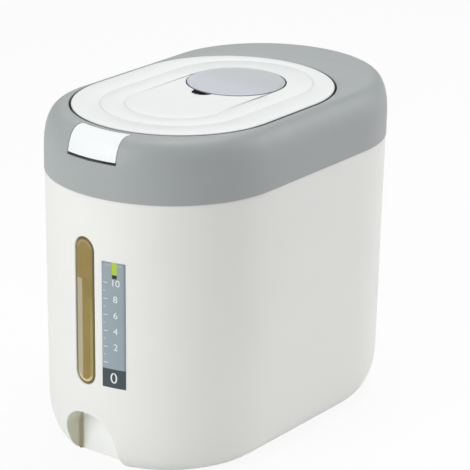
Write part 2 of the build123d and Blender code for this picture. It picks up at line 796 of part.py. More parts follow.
# Latch spring: a small coil between the slider's pad and the tray's back wall
spring_front_y = slider_front_y + slider_pad_thickness
spring_back_y = latch_tray_back_y - latch_tray_end_wall
spring_z = slider_z - latch_spring_radius - latch_spring_wire / 2 - latch_spring_under
spring_run = spring_back_y - spring_front_y - latch_spring_wire - 2 * latch_spring_gap
with BuildPart() as latch_spring:
    with BuildLine() as latch_coil:
        Helix(
            pitch=spring_run / latch_spring_turns,
            height=spring_run,
            radius=latch_spring_radius,
            center=(0, spring_front_y + latch_spring_wire / 2 + latch_spring_gap, spring_z),
            direction=(0, 1, 0),
        )
    with BuildSketch(latch_coil.line ^ 0) as latch_wire:
        Circle(latch_spring_wire / 2)
    sweep(path=latch_coil.line, is_frenet=True)

latch_spring.part.label = "latch_spring"
export_step(latch_spring.part, "parts/latch_spring.step")

# Latch housing: the tray behind the flap, with cheeks for the pin and a guide slot for the slider
tray_half = latch_tray_width / 2
with BuildPart() as latch_tray_round:
    with Locations((0, -end_y, latch_tray_floor_z)):
        Cylinder(
            collar_inner_radius - latch_tray_gap,
            overall_height - latch_tray_floor_z,
            align=(Align.CENTER, Align.CENTER, Align.MIN),
        )

with BuildPart() as latch_lip_hollow:
    with Locations((0, -end_y, latch_tray_floor_z + latch_tray_wall)):
        Cylinder(
            collar_inner_radius - latch_tray_gap - latch_lip,
            overall_height - latch_tray_floor_z,
            align=(Align.CENTER, Align.CENTER, Align.MIN),
        )

def cheek_front(z):
    """Front edge of a cheek at a height, just inside the collar's hollow."""
    reach = shoulder_radius(z) - cheek_gap
    return (-end_y - sqrt(reach**2 - tray_half**2), z)


with BuildPart() as latch_housing:
    lip_top_z = flap_low_z - flap_bottom_gap - latch_lip_gap
    with Locations((0, latch_tray_back_y, latch_tray_floor_z)):
        Box(
            latch_tray_width,
            latch_tray_reach,
            lip_top_z - latch_tray_floor_z,
            align=(Align.CENTER, Align.MAX, Align.MIN),
        )
    add(latch_lip_hollow.part, mode=Mode.SUBTRACT)
    add(latch_tray_round.part, mode=Mode.INTERSECT)
    # back wall with the slider's guide slot
    tray_back_top_z = latch_pin_z + latch_tray_above_pin
    with BuildSketch(Plane.XZ.offset(-latch_tray_back_y)) as tray_back:
        with Locations((0, (latch_tray_floor_z + tray_back_top_z) / 2)):
            Rectangle(latch_tray_width, tray_back_top_z - latch_tray_floor_z)
        with Locations((0, slider_z + slider_thickness / 2)):
            Rectangle(
                slider_width + 4 * slider_guide_gap,
                slider_thickness + 2 * slider_guide_gap,
                mode=Mode.SUBTRACT,
            )
    extrude(amount=latch_tray_end_wall)
    # two cheeks, cut to stay inside the collar's shoulder
    for side in (-1, 1):
        cheek_plane = Plane.YZ.offset(side * (tray_half - latch_tray_wall / 2) - latch_tray_wall / 2)
        with BuildSketch(cheek_plane) as cheek:
            with BuildLine():
                cheek_top_z = latch_pin_z + cheek_top
                Polyline(
                    cheek_front(cheek_top_z),
                    (latch_tray_back_y, cheek_top_z),
                    (latch_tray_back_y, latch_tray_floor_z),
                    cheek_front(latch_tray_floor_z),
                    cheek_front((latch_tray_floor_z + latch_pin_z) / 2),
                    cheek_front(latch_pin_z - latch_pin_radius),
                    cheek_front(cheek_top_z),
                )
            make_face()
            with Locations((latch_pin_y, latch_pin_z)):
                Circle(latch_pin_radius, mode=Mode.SUBTRACT)
        extrude(amount=latch_tray_wall)
    # ears under the collar's bosses
    ear_low_z = latch_boss_low_z - ear_thickness
    ear_length = latch_screw_x + boss_radius - tray_half
    for side in (-1, 1):
        with Locations((side * (tray_half + ear_length / 2), latch_screw_y, ear_low_z)):
            Box(
                ear_length,
                2 * boss_radius,
                ear_thickness,
                align=(Align.CENTER, Align.CENTER, Align.MIN),
            )
    with BuildSketch(Plane.XY.offset(ear_low_z)) as latch_ear_holes:
        with Locations(*latch_bosses):
            Circle(screw_radius)
    extrude(amount=ear_thickness, mode=Mode.SUBTRACT)

latch_housing.part.label = "latch_housing"
export_step(latch_housing.part, "parts/latch_housing.step")


def pan_screw(length):
    """A pan-head screw that points up, with its head under the origin."""
    with Locations((0, 0, -screw_head)):
        Cylinder(screw_head_radius, screw_head, align=(Align.CENTER, Align.CENTER, Align.MIN))
    Cylinder(screw_radius, length, align=(Align.CENTER, Align.CENTER, Align.MIN))
    with Locations((0, 0, -screw_head)):
        for turn in (0, 90):
            Box(
                driver_length,
                driver_width,
                driver_depth,
                rotation=(0, 0, turn),
                align=(Align.CENTER, Align.CENTER, Align.MIN),
                mode=Mode.SUBTRACT,
            )


with BuildPart() as one_screw:
    pan_screw(screw_length)

with BuildPart() as latch_housing_screws:
    with Locations(*[(x, y, ear_low_z) for x, y in latch_bosses]):
        add(one_screw.part)

latch_housing_screws.part.label = "latch_housing_screws"
export_step(latch_housing_screws.part, "parts/latch_housing_screws.step")

# Lid hinge bracket: two arms that pass under the collar's rear skin to the pin
bracket_low_z = lid_under_z - bracket_thickness
with BuildPart() as lid_hinge_bracket:
    # curved plate under the cover
    plate_outer = lid_end_radius - bracket_inset
    with BuildSketch(Plane.XY.offset(bracket_low_z)) as plate_plan:
        with Locations((0, lid_back_centre_y)):
            Circle(plate_outer)
            Circle(plate_outer - bracket_radial, mode=Mode.SUBTRACT)
        with Locations((0, lid_back_centre_y + plate_outer)):
            Rectangle(bracket_width, plate_outer, mode=Mode.INTERSECT)
    extrude(amount=bracket_thickness)
    for side in (-1, 1):
        arm_plane = Plane.YZ.offset(side * arm_x - arm_width / 2)
        with BuildSketch(arm_plane) as arm:
            with Locations((hinge_y, hinge_z)):
                Circle(arm_outer_radius)
                Circle(arm_inner_radius, mode=Mode.SUBTRACT)
            # keep the part of the ring from the lid side round to the spoke
            end_angle = radians(180 + arm_sweep)
            with BuildLine():
                Polyline(
                    (hinge_y, hinge_z),
                    (hinge_y - 2 * arm_outer_radius, hinge_z),
                    (hinge_y - 2 * arm_outer_radius, hinge_z - 2 * arm_outer_radius),
                    (
                        hinge_y + 2 * arm_outer_radius * cos(end_angle),
                        hinge_z + 2 * arm_outer_radius * sin(end_angle),
                    ),
                    (hinge_y, hinge_z),
                )
            make_face(mode=Mode.INTERSECT)
            # spoke from the ring to the eye
            spoke_reach = arm_outer_radius - root_sink
            spoke_y = hinge_y + spoke_reach / 2 * cos(end_angle)
            spoke_z = hinge_z + spoke_reach / 2 * sin(end_angle)
            with Locations(Location((spoke_y, spoke_z), 180 + arm_sweep)):
                Rectangle(spoke_reach, arm_spoke)
            with Locations((hinge_y, hinge_z)):
                Circle(hinge_eye_radius)
                Circle(hinge_pin_radius + running_clearance, mode=Mode.SUBTRACT)
            # upright from the ring to the plate
            upright_y = hinge_y - arm_outer_radius + arm_thickness / 2
            upright_top_z = bracket_low_z + root_sink
            with Locations((upright_y, (hinge_z + upright_top_z) / 2)):
                Rectangle(arm_thickness, upright_top_z - hinge_z)
        extrude(amount=arm_width)
    with BuildSketch(Plane.XY.offset(bracket_low_z)) as bracket_clearance:
        with Locations(*bracket_screw_places):
            Circle(screw_radius)
    extrude(amount=bracket_thickness, mode=Mode.SUBTRACT)

lid_hinge_bracket.part.label = "lid_hinge_bracket"
export_step(lid_hinge_bracket.part, "parts/lid_hinge_bracket.step")

with BuildPart() as bracket_screw:
    pan_screw(bracket_screw_length)

with BuildPart() as hinge_bracket_screws:
    with Locations(*[(x, y, bracket_low_z) for x, y in bracket_screw_places]):
        add(bracket_screw.part)

hinge_bracket_screws.part.label = "hinge_bracket_screws"
export_step(hinge_bracket_screws.part, "parts/hinge_bracket_screws.step")

# Hinge housing: a closed box round the arms, screwed up under the collar
box_half = hinge_box_width / 2
box_length = hinge_box_back_y - hinge_box_front_y
box_centre_y = (hinge_box_back_y + hinge_box_front_y) / 2
with BuildPart() as hinge_housing:
    with Locations((0, box_centre_y, hinge_box_low_z)):
        Box(
            hinge_box_width,
            box_length,
            collar_under_z - hinge_box_low_z,
            align=(Align.CENTER, Align.CENTER, Align.MIN),
        )
    with Locations((0, box_centre_y, hinge_box_low_z + hinge_box_wall)):
        Box(
            hinge_box_width - 2 * hinge_box_wall,
            box_length - 2 * hinge_box_wall,
            overall_height,
            align=(Align.CENTER, Align.CENTER, Align.MIN),
            mode=Mode.SUBTRACT,
        )
    with BuildSketch(Plane.XY.offset(gutter_z)) as under_gutter:
        lid_plan(-lid_gap - well_wall - hinge_box_well_gap)
    extrude(amount=overall_height - gutter_z, mode=Mode.SUBTRACT)
    hinge_ear_z = hinge_boss_low_z - ear_thickness
    hinge_ear = hinge_screw_x + boss_radius - box_half
    for side in (-1, 1):
        for y in hinge_screw_ys:
            with Locations((side * (box_half + hinge_ear / 2), y, hinge_ear_z)):
                Box(
                    hinge_ear,
                    2 * boss_radius,
                    ear_thickness,
                    align=(Align.CENTER, Align.CENTER, Align.MIN),
                )
    with BuildSketch(Plane.XY.offset(hinge_ear_z)) as hinge_ear_holes:
        with Locations(*hinge_bosses):
            Circle(screw_radius)
    extrude(amount=ear_thickness, mode=Mode.SUBTRACT)
    with BuildSketch(Plane.YZ.offset(-box_half)) as pin_bore:
        with Locations((hinge_y, hinge_z)):
            Circle(hinge_pin_radius)
    extrude(amount=hinge_box_width, mode=Mode.SUBTRACT)

hinge_housing.part.label = "hinge_housing"
export_step(hinge_housing.part, "parts/hinge_housing.step")

with BuildPart() as hinge_housing_screws:
    with Locations(*[(x, y, hinge_ear_z) for x, y in hinge_bosses]):
        add(one_screw.part)

hinge_housing_screws.part.label = "hinge_housing_screws"
export_step(hinge_housing_screws.part, "parts/hinge_housing_screws.step")

# Hinge pin: runs right through the box, with a head on one side
with BuildPart() as hinge_pin:
    with Locations((0, hinge_y, hinge_z)):
        Cylinder(hinge_pin_radius, hinge_box_width, rotation=(0, 90, 0))
    with Locations((box_half + pin_head / 2, hinge_y, hinge_z)):
        Cylinder(hinge_pin_radius + pin_head_extra, pin_head, rotation=(0, 90, 0))

hinge_pin.part.label = "hinge_pin"
export_step(hinge_pin.part, "parts/hinge_pin.step")

# Hinge springs: a coil round the pin each side, with two straight legs down into the box
coil_run = hinge_spring_turns * hinge_spring_pitch
legs_down = -90
with BuildPart() as coil:
    with BuildLine() as hinge_coil:
        turns = Helix(
            pitch=hinge_spring_pitch,
            height=coil_run,
            radius=hinge_spring_radius,
            center=(-hinge_spring_x - coil_run / 2, hinge_y, hinge_z),
            direction=(1, 0, 0),
        )
        Line(turns @ 0 - turns % 0 * hinge_spring_leg, turns @ 0)
        Line(turns @ 1, turns @ 1 + turns % 1 * hinge_spring_leg)
    with BuildSketch(hinge_coil.wire() ^ 0) as hinge_wire:
        Circle(hinge_spring_wire / 2)
    sweep(path=hinge_coil.wire())

with BuildPart() as hinge_spring_left:
    add(coil.part.rotate(Axis((0, hinge_y, hinge_z), (1, 0, 0)), legs_down))

hinge_spring_left.part.label = "hinge_spring_left"
export_step(hinge_spring_left.part, "parts/hinge_spring_left.step")

with BuildPart() as hinge_spring_right:
    mirror(hinge_spring_left.part, about=Plane.YZ)

hinge_spring_right.part.label = "hinge_spring_right"
export_step(hinge_spring_right.part, "parts/hinge_spring_right.step")
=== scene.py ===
# %% [markdown]
# # A rice bucket, from its plan up
# A tall bucket for rice: a grey collar, a flush white lid hinged at the back, a push flap at the front
# and a round cap over a desiccant cup. Nearly all of it is a section carried round a plan with two
# straight sides and two round ends. So the script writes that plan down as a formula first, and every
# shell is a list of radii and heights, in millimetres until a mesh is made.

import bmesh
import bpy
import numpy as np
from mathutils import Matrix, Vector


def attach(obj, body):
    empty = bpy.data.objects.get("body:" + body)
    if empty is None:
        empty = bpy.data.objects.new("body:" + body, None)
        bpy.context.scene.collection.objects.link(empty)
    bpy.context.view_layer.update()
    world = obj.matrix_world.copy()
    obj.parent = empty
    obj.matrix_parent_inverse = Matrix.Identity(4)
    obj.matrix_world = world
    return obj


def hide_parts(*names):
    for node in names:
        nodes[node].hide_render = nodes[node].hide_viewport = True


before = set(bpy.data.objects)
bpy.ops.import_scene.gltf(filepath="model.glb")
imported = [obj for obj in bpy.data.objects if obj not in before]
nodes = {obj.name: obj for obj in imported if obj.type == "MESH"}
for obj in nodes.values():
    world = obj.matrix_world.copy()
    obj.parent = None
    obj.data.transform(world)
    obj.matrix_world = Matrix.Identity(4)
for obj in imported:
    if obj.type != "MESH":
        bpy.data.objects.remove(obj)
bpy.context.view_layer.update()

# %% [markdown]
# ## The plan
# A column is a place on the way round the plan: a share along a straight side, or an angle on a round
# end. Near the middle of the front and back the cut-outs have upright edges, so there a column keeps
# its distance from the middle plane while the radius changes. A weight blends the two kinds, so that no
# two columns cross.

# %% Columns round a plan
PLAN_RADIUS = 90.0
ALONG = np.linspace(0, 1, 14)


def joined(parts):
    """Columns from parts that follow each other, each part (sine, blend weight, share along, side)."""
    wide = [np.broadcast_arrays(*part) for part in parts]
    return [np.concatenate([part[k] for part in wide]).astype(float) for k in range(4)]


def plan_columns(front, back):
    """Columns anticlockwise from the front's left. The lists give distances from the middle plane."""
    turn = np.radians([31.0, 36.0, 41.0, 46.0, 51.5, 57.0, 62.5, 68.0, 73.5, 79.0, 84.5])
    weight = np.array([0.3, 0.6, 0.85, 1, 1, 1, 1, 1, 1, 1, 1])
    parts = [
        (np.array(front) / PLAN_RADIUS, 0, 0, -1),
        (np.sin(turn), weight, 0, -1),
        (1, 1, ALONG, 0),
        (np.sin(turn[::-1]), weight[::-1], 1, 1),
        (np.array(back)[::-1] / PLAN_RADIUS, 0, 1, 1),
        (-np.sin(turn), weight, 1, 1),
        (-1, 1, ALONG[::-1], 0),
        (-np.sin(turn[::-1]), weight[::-1], 0, -1),
    ]
    return joined(parts)


def angle_columns(turns):
    """Columns that keep their angle at every radius, for outlines that shrink to a small circle."""
    even = np.radians(np.arange(85, -86, -5.0))
    parts = [
        (np.sin(np.radians(turns)), 1, 0, -1),
        (1, 1, ALONG, 0),
        (np.sin(even), 1, 1, 1),
        (-1, 1, ALONG[::-1], 0),
    ]
    return joined(parts)


def round_plan(columns, radius, front_y, back_y):
    """Points of the plan at a radius: x from the column, then y from the circle round the nearer centre.

    x = (1 - w) * 90 * sine + w * radius * sine, and y = centre -/+ the square root of radius^2 - x^2."""
    sine, blend, share, side = columns
    x = (1 - blend) * PLAN_RADIUS * sine + blend * radius * sine
    deep = np.sqrt(np.maximum(radius**2 - x**2, 0))
    return x, front_y + share * (back_y - front_y) + side * deep


print("columns in a plain plan:", len(angle_columns(np.arange(-85, 86, 5.0))[0]))

# %% [markdown]
# ## From grids to meshes
# A surface is a grid of points, and its faces are the quads between neighbours. Where a cut-out goes
# through, the quads inside it are left out. Several grids that share an edge become one mesh when
# their doubled points are merged.

# %% Grid faces and the mesh maker
MM = 0.001


def stack(x, y, z):
    """Three arrays of any matching shapes as one array of points, rows by columns by three."""
    return np.stack(np.broadcast_arrays(x, y, z), axis=-1).astype(float)


def grid(points, around=False, left_out=None):
    """Flat list of points and the quads between neighbours. left_out marks quads that aren't made."""
    rows, columns = points.shape[:2]
    row, column = np.meshgrid(
        np.arange(rows - 1), np.arange(columns if around else columns - 1), indexing="ij"
    )
    after = (column + 1) % columns
    corners = [row * columns + column, row * columns + after]
    corners += [(row + 1) * columns + after, (row + 1) * columns + column]
    quads = np.stack(corners, axis=-1)
    if left_out is not None:
        quads = quads[~left_out]
    return points.reshape(-1, 3), quads.reshape(-1, 4)


def linked(name, data):
    """A new object that carries the data, linked into the scene."""
    thing = bpy.data.objects.new(name, data)
    bpy.context.scene.collection.objects.link(thing)
    return thing


def piece(name, grids, body, stands_for=(), outward=False, close=False, sharp=35):
    """One mesh from grids in millimetres, merged, shaded smooth below the sharp angle, riding on a body."""
    offsets = np.cumsum([0] + [len(points) for points, quads in grids[:-1]])
    points = np.concatenate([points for points, quads in grids]) * MM
    quads = np.concatenate([quads + offset for (_, quads), offset in zip(grids, offsets)])
    mesh = bpy.data.meshes.new(name)
    mesh.from_pydata(points.tolist(), [], quads.tolist())
    work = bmesh.new()
    work.from_mesh(mesh)
    bmesh.ops.remove_doubles(work, verts=work.verts, dist=4e-6)
    loose = [vertex for vertex in work.verts if not vertex.link_faces]
    bmesh.ops.delete(work, geom=loose, context="VERTS")
    if close:
        bmesh.ops.holes_fill(work, edges=[e for e in work.edges if e.is_boundary], sides=0)
    if outward or close:
        bmesh.ops.recalc_face_normals(work, faces=work.faces)
    work.to_mesh(mesh)
    work.free()
    mesh.shade_smooth()
    mesh.set_sharp_from_angle(angle=np.radians(sharp))
    thing = linked(name, mesh)
    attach(thing, body)
    if stands_for:
        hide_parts(*stands_for)
    print(f"{name}: {len(mesh.vertices)} points, {len(mesh.polygons)} faces")
    return thing


def finish_edges(thing, wall=0.0, edge=0.4):
    """Gives an open surface its wall, towards the inside, and rounds edges sharper than 40 degrees."""
    if wall:
        solid = thing.modifiers.new("wall", "SOLIDIFY")
        solid.thickness = wall * MM
        solid.offset = -1
    if edge:
        bevel = thing.modifiers.new("edges", "BEVEL")
        bevel.width = edge * MM
        bevel.segments = 2
        bevel.limit_method = "ANGLE"
        bevel.angle_limit = np.radians(40)
        bevel.harden_normals = True


def pairs(first, second):
    """Two arrays, or an array and a value, as one array of pairs."""
    return np.stack(np.broadcast_arrays(first, second), axis=-1)


def polyline_at(points, share):
    """Points at shares of the way along a polyline, by its length. np.r_ joins values end to end."""
    length = np.r_[0, np.cumsum(np.hypot(*np.diff(points, axis=0).T))]
    return pairs(*[np.interp(share * length[-1], length, points[:, k]) for k in (0, 1)])


def arc_points(centre, radius, start, end, count=24):
    """Points on an arc, from one angle to another in degrees."""
    turn = np.radians(np.linspace(start, end, count))
    return pairs(centre[0] + radius * np.cos(turn), centre[1] + radius * np.sin(turn))


# %% [markdown]
# ## The bucket's wall
# The white bucket's wall has a draft, as moulded parts do, and is 2 mm wider at the top. The lowest
# 38 mm turn in to the base along a quarter ellipse. One formula gives the radius at a height, and all
# that is cut or stuck on the front uses it too.

# %% Radius of the bucket at a height
BASE_RUN, BASE_RISE, WALL, FLOOR = 20.0, 38.0, 2.5, 3.0
RIM_Z, NECK_R, NECK_TOP = 213.4, 89.9, 224.0
END_Y, TOP_R, DRAFT = 60.0, 92.0, 2.1


def drafted(z):
    """Radius of the drafted wall: the radius at the rim, less the draft times the share below the rim."""
    return TOP_R - DRAFT * (RIM_Z - z) / RIM_Z


def bucket_radius(z, inset=0.0, low=0.0):
    """Radius at a height: the drafted wall, and below 38 mm a quarter ellipse that starts at the floor."""
    deep = np.clip((BASE_RISE - z) / (BASE_RISE - low), 0, 1)
    turned = drafted(BASE_RISE) - BASE_RUN + (BASE_RUN - inset) * np.sqrt(1 - deep**2)
    return np.where(z < BASE_RISE, turned, drafted(z) - inset)


def front_wall(x, z, inset=0.0, low=0.0):
    """The y of the bucket's front wall at a place (x, z)."""
    return -END_Y - np.sqrt(bucket_radius(z, inset, low) ** 2 - x**2)


print("bucket radius at base, bend and rim:", bucket_radius(np.array([0.0, 38.0, 213.4])))

# %% [markdown]
# ## Outlines on the front
# The finger recess is an arch that is open below, and the sight window a slot with full-round ends. Each
# outline can be let out or drawn in, and is cut into the same sides as the rectangle of wall that is
# left open for it, so the two join point to point.

# %% Outlines of the recess and the window
RECESS_X, RECESS_W, RECESS_H, RECESS_CORNER = -5.5, 48.0, 42.5, 22.0
WINDOW_X, WINDOW_W, WINDOW_H, WINDOW_LOW = -5.5, 18.4, 114.4, 66.6
WINDOW_ENDS = (WINDOW_LOW + WINDOW_W / 2, WINDOW_LOW + WINDOW_H - WINDOW_W / 2)


def walk(sides, counts):
    """Points along the sides of an outline, each side cut into its count of equal steps."""
    shares = [np.linspace(0, 1, count, endpoint=False) for count in counts[:-1]]
    shares.append(np.linspace(0, 1, counts[-1] + 1))
    return np.vstack([polyline_at(side, share) for side, share in zip(sides, shares)])


def arch_outline(grow, low, upright, across):
    """The recess's outline from bottom left, up, across and down, let out by grow."""
    half, top, corner = RECESS_W / 2 + grow, RECESS_H + grow, RECESS_CORNER + grow
    left_centre = (RECESS_X - half + corner, top - corner)
    right_centre = (RECESS_X + half - corner, top - corner)
    left = np.vstack([[RECESS_X - half, low], arc_points(left_centre, corner, 180, 135)])
    over = np.vstack([arc_points(left_centre, corner, 135, 90), arc_points(right_centre, corner, 90, 45)])
    right = np.vstack([arc_points(right_centre, corner, 45, 0), [RECESS_X + half, low]])
    return walk([left, over, right], [upright, across, upright])


def slot_outline(grow, upright, across):
    """The window's outline, from bottom left, clockwise round to the start, let out by grow."""
    radius = WINDOW_W / 2 + grow
    low, high = [(WINDOW_X, z) for z in WINDOW_ENDS]
    left = np.vstack([arc_points(low, radius, 225, 180), arc_points(high, radius, 180, 135)])
    over = arc_points(high, radius, 135, 45)
    right = np.vstack([arc_points(high, radius, 45, 0), arc_points(low, radius, 0, -45)])
    under = arc_points(low, radius, -45, -135)
    return walk([left, over, right, under], [upright, across, upright, across])


def frame_path(xs, zs, closed):
    """The rectangle left open in the wall, walked in the same order as the outlines."""
    sides = [pairs(xs[0], zs[:-1]), pairs(xs[:-1], zs[-1]), pairs(xs[-1], zs[::-1])]
    return np.vstack(sides + closed * [pairs(xs[::-1][1:], zs[0])])


def spine(path, x, low, high):
    """Each point of an outline moved to the upright middle line, where a back wall closes."""
    return pairs(x, np.clip(path[:, 1], low, high))
print("slot, width and height:", np.ptp(slot_outline(0, 20, 10), axis=0))

# %% [markdown]
# ## The recess and the window in the wall
# Rings lead from the open rectangle to the outline, over its round edge and inwards: a ring is let out
# by what is left of the edge's radius while it sinks. The recess then turns again into its flat back
# wall, which closes on a middle line.

# %% Rings of the recess and of the window
EDGE, INNER_EDGE = 1.3, 2.0


def on_wall(ring, inset=0.0, low=0.0, deep=0.0):
    """A ring of (x, z) laid on the front wall, or sunk behind it."""
    x, z = ring.T
    return stack(x, front_wall(x, z, inset, low) + deep, z)


def edge_rings(outer, outline, shares, inset=0.0, low=0.0):
    """Rings from the open rectangle to an outline, and over its round edge.

    On the edge the outline is let out by EDGE * (1 - sin t) and sinks by EDGE * (1 - cos t)."""
    near = outline(EDGE)
    rings = [on_wall(outer + (near - outer) * share, inset, low) for share in shares]
    for turn in np.radians([22.5, 45, 67.5, 90]):
        ring = outline(EDGE * (1 - np.sin(turn)))
        rings.append(on_wall(ring, inset, low, EDGE * (1 - np.cos(turn))))
    return rings


def recess_rings(xs, zs, grow, back_y, inset, low):
    """Grid of rings from the wall into the recess, for the outside or, let out, for the inside."""

    def outline(more):
        return arch_outline(grow + more, low, len(zs) - 1, len(xs) - 1)

    rings = edge_rings(frame_path(xs, zs, False), outline, (0, 0.35, 0.7, 1), inset, low)
    for turn in np.radians([0, 22.5, 45, 67.5, 90]):
        ring = outline(-INNER_EDGE * (1 - np.cos(turn)))
        rings.append(stack(ring[:, 0], back_y - INNER_EDGE * (1 - np.sin(turn)), ring[:, 1]))
    middle = spine(ring, RECESS_X, low, RECESS_H + grow - RECESS_W / 2)
    rings.append(stack(middle[:, 0], back_y, middle[:, 1]))
    return grid(np.array(rings))


def window_rings(xs, zs):
    """Grid of rings from the outer wall through the slot to the inner wall's rectangle."""

    def outline(more):
        return slot_outline(more, len(zs) - 1, len(xs) - 1)

    outer, slot = frame_path(xs, zs, True), outline(0)
    rings = edge_rings(outer, outline, (0, 0.4, 0.75, 1))
    rings += [on_wall(slot + (outer - slot) * share, WALL) for share in (0, 0.5, 1)]
    return grid(np.array(rings))


print("round edges:", EDGE, "mm outside and", INNER_EDGE, "mm at the recess's back")

# %% [markdown]
# ## The bucket
# Now the bucket is one grid: columns round the plan, and rows up the outside, over the neck and down
# the inside. The quads behind the two openings are left out and the rings fill them. Booleans could cut
# them too, but a grid that follows the outlines keeps its faces even, and the gloss smooth at the edges.

# %% Build the bucket
RECESS_GAP, WINDOW_GAP = (-38.0, 27.0, 0.0, 54.0), (-25.0, 14.0, 58.0, 190.0)
RECESS_BACK, RIM_EDGE, NECK_EDGE, NECK_WALL = -126.0, 0.8, 0.6, 2.4
gap_x = [*RECESS_GAP[:2], *WINDOW_GAP[:2]]
front_x = np.unique(np.r_[-38:28:2.5, gap_x, 30:41:3.0, -40.0])
columns = plan_columns(front_x, np.arange(-40, 41, 5.0))
base_z = BASE_RISE * (1 - np.cos(np.radians(np.arange(0, 91, 6))))
arch_z = [42.0, 46.0, 50.0, RECESS_GAP[3]]
hole_z = np.r_[base_z, arch_z]
window_z = np.arange(WINDOW_GAP[2], WINDOW_GAP[3] + 1, 4.0)
upper_z = np.array([195.0, 199.0, 203.0, 207.0, 210.5])
rim_turn = np.radians([0, 30, 60, 90])
outer_z = np.r_[hole_z, window_z, upper_z, RIM_Z - RIM_EDGE * (1 - np.sin(rim_turn))]
outer_r = bucket_radius(outer_z)
outer_r[-4:] -= RIM_EDGE * (1 - np.cos(rim_turn))
inner_hole_z = np.r_[FLOOR, base_z[base_z > FLOOR + 0.05], arch_z]
inner_z = np.r_[inner_hole_z, window_z, 195.0, 199.0, 201.4]
inner_r = bucket_radius(inner_z, WALL, FLOOR)
neck_in = NECK_R - NECK_WALL
neck_z = np.array([RIM_Z, NECK_TOP - NECK_EDGE, NECK_TOP, NECK_TOP, NECK_TOP - NECK_EDGE, RIM_Z - 6.0])
neck_r = np.array([NECK_R, NECK_R, NECK_R - NECK_EDGE, neck_in + NECK_EDGE, neck_in, neck_in])
row_z = np.r_[outer_z, neck_z, inner_z[::-1]]
row_r = np.r_[outer_r, neck_r, inner_r[::-1]]
x, y = round_plan(columns, row_r[:, None], -END_Y, END_Y)
bucket_points = stack(x, y, row_z[:, None])

quad_x = (bucket_points[:-1, :-1, 0] + bucket_points[1:, 1:, 0]) / 2
quad_x = np.concatenate([quad_x, quad_x[:, :1] * 0 - 80], axis=1)
quad_z = ((row_z[:-1] + row_z[1:]) / 2)[:, None]
at_front = np.arange(len(columns[0]))[None, :] < len(front_x) - 1


def opening(x0, x1, z0, z1):
    """Quads inside a rectangle of the front wall, and the x of the columns across it."""
    quads = at_front & (quad_x > x0) & (quad_x < x1) & (quad_z > z0) & (quad_z < z1)
    return quads, front_x[(front_x >= x0) & (front_x <= x1)]


recess_open, recess_x = opening(*RECESS_GAP)
window_open, window_x = opening(*WINDOW_GAP)
bucket_grids = [
    grid(bucket_points, around=True, left_out=recess_open | window_open),
    recess_rings(recess_x, hole_z, 0.0, RECESS_BACK, 0.0, 0.0),
    recess_rings(recess_x, inner_hole_z, WALL, RECESS_BACK + WALL, WALL, FLOOR),
    window_rings(window_x, window_z),
]
bucket = piece("bucket_shell", bucket_grids, "root", ["bucket"], close=True)

# %% [markdown]
# ## The sight window
# Behind the slot sits a strip of clear amber plastic with a flange that keeps it from being pushed out.
# Its face is the wall's own curve set back by half a millimetre. The slot's outline, drawn in or let
# out, gives its rings from the middle line to the edge, back to the flange, and over it.

# %% Build the window pane
PANE_FACE, PANE_BACK, PANE_STEPS = -0.5, -5.1, (44, 10)
pane_edge = [(3.9, PANE_BACK), (3.9, -3.6), (-0.2, -3.6), (-0.2, -1.1), (-0.35, -0.7)]
pane_edge += [(-0.8, PANE_FACE), (-4, PANE_FACE)]


def offset_wall(x, z, offset):
    """The y of a surface that follows the drafted wall at a distance, outwards positive."""
    return -END_Y - np.sqrt((drafted(z) + offset) ** 2 - x**2)


def laid(outline, offset):
    """An outline of (x, z) laid on the wall moved by the offset."""
    x, z = outline.T
    return stack(x, offset_wall(x, z, offset), z)


pane_spine = spine(slot_outline(0, *PANE_STEPS), WINDOW_X, *WINDOW_ENDS)
pane_rings = [laid(slot_outline(grow, *PANE_STEPS), offset) for grow, offset in pane_edge]
pane_rings = [laid(pane_spine, PANE_BACK), *pane_rings, laid(pane_spine, PANE_FACE)]
pane_grid = grid(np.array(pane_rings))
pane = piece("sight_pane", [pane_grid], "root", ["sight_window"], outward=True)

# %% [markdown]
# ## The label and its numbers
# The label is a thin printed strip beside the window, with a plain scale from 0 to 10. The strip
# follows the wall, the bars are patches of the same surface a hair further out, and the numbers are
# text turned to a mesh, with each point moved to the wall's y.

# %% Build the label and its marks
STRIP, BLOCK_Z1 = (10.95, 29.45, 69.55, 166.85), 84.3
BAR_X, STOP_Z0, BAR_Z0, BAR_Z1 = (19.3, 23.1), 154.6, 157.5, 166.8
TICK_X0, LONG_X1, SHORT_X1 = 12.2, 15.6, 13.9
STRIP_OUT, BAR_OUT, TICK_OUT, NUMBER_OUT = 0.27, 0.28, 0.285, 0.29


def wall_patch(x0, x1, z0, z1, proud):
    """A rectangle on the front wall, standing proud by a small distance."""
    x = np.linspace(x0, x1, 9)[None, :]
    z = np.linspace(z0, z1, max(2, int((z1 - z0) / 4) + 2))[:, None]
    return grid(stack(x, offset_wall(x, z, proud), z))


label = piece("level_strip", [wall_patch(*STRIP, STRIP_OUT)], "root", ["level_label"])
finish_edges(label, wall=0.25, edge=0.0)
bars = {
    "label_base_block": (*STRIP[:3], BLOCK_Z1),
    "label_full_bar": (*BAR_X, BAR_Z0, BAR_Z1),
    "label_full_stop": (*BAR_X, STOP_Z0, BAR_Z0),
}
base_block, full_bar, full_stop = [
    piece(name, [wall_patch(*box, BAR_OUT)], "root") for name, box in bars.items()
]
level_z = np.linspace(89.0, 151.0, 6)
middle_z = (level_z[:-1] + level_z[1:]) / 2
ticks = [wall_patch(TICK_X0, LONG_X1, z - 0.25, z + 0.25, TICK_OUT) for z in level_z]
ticks += [wall_patch(TICK_X0, SHORT_X1, z - 0.2, z + 0.2, TICK_OUT) for z in middle_z]
marks = piece("label_ticks", ticks, "root")


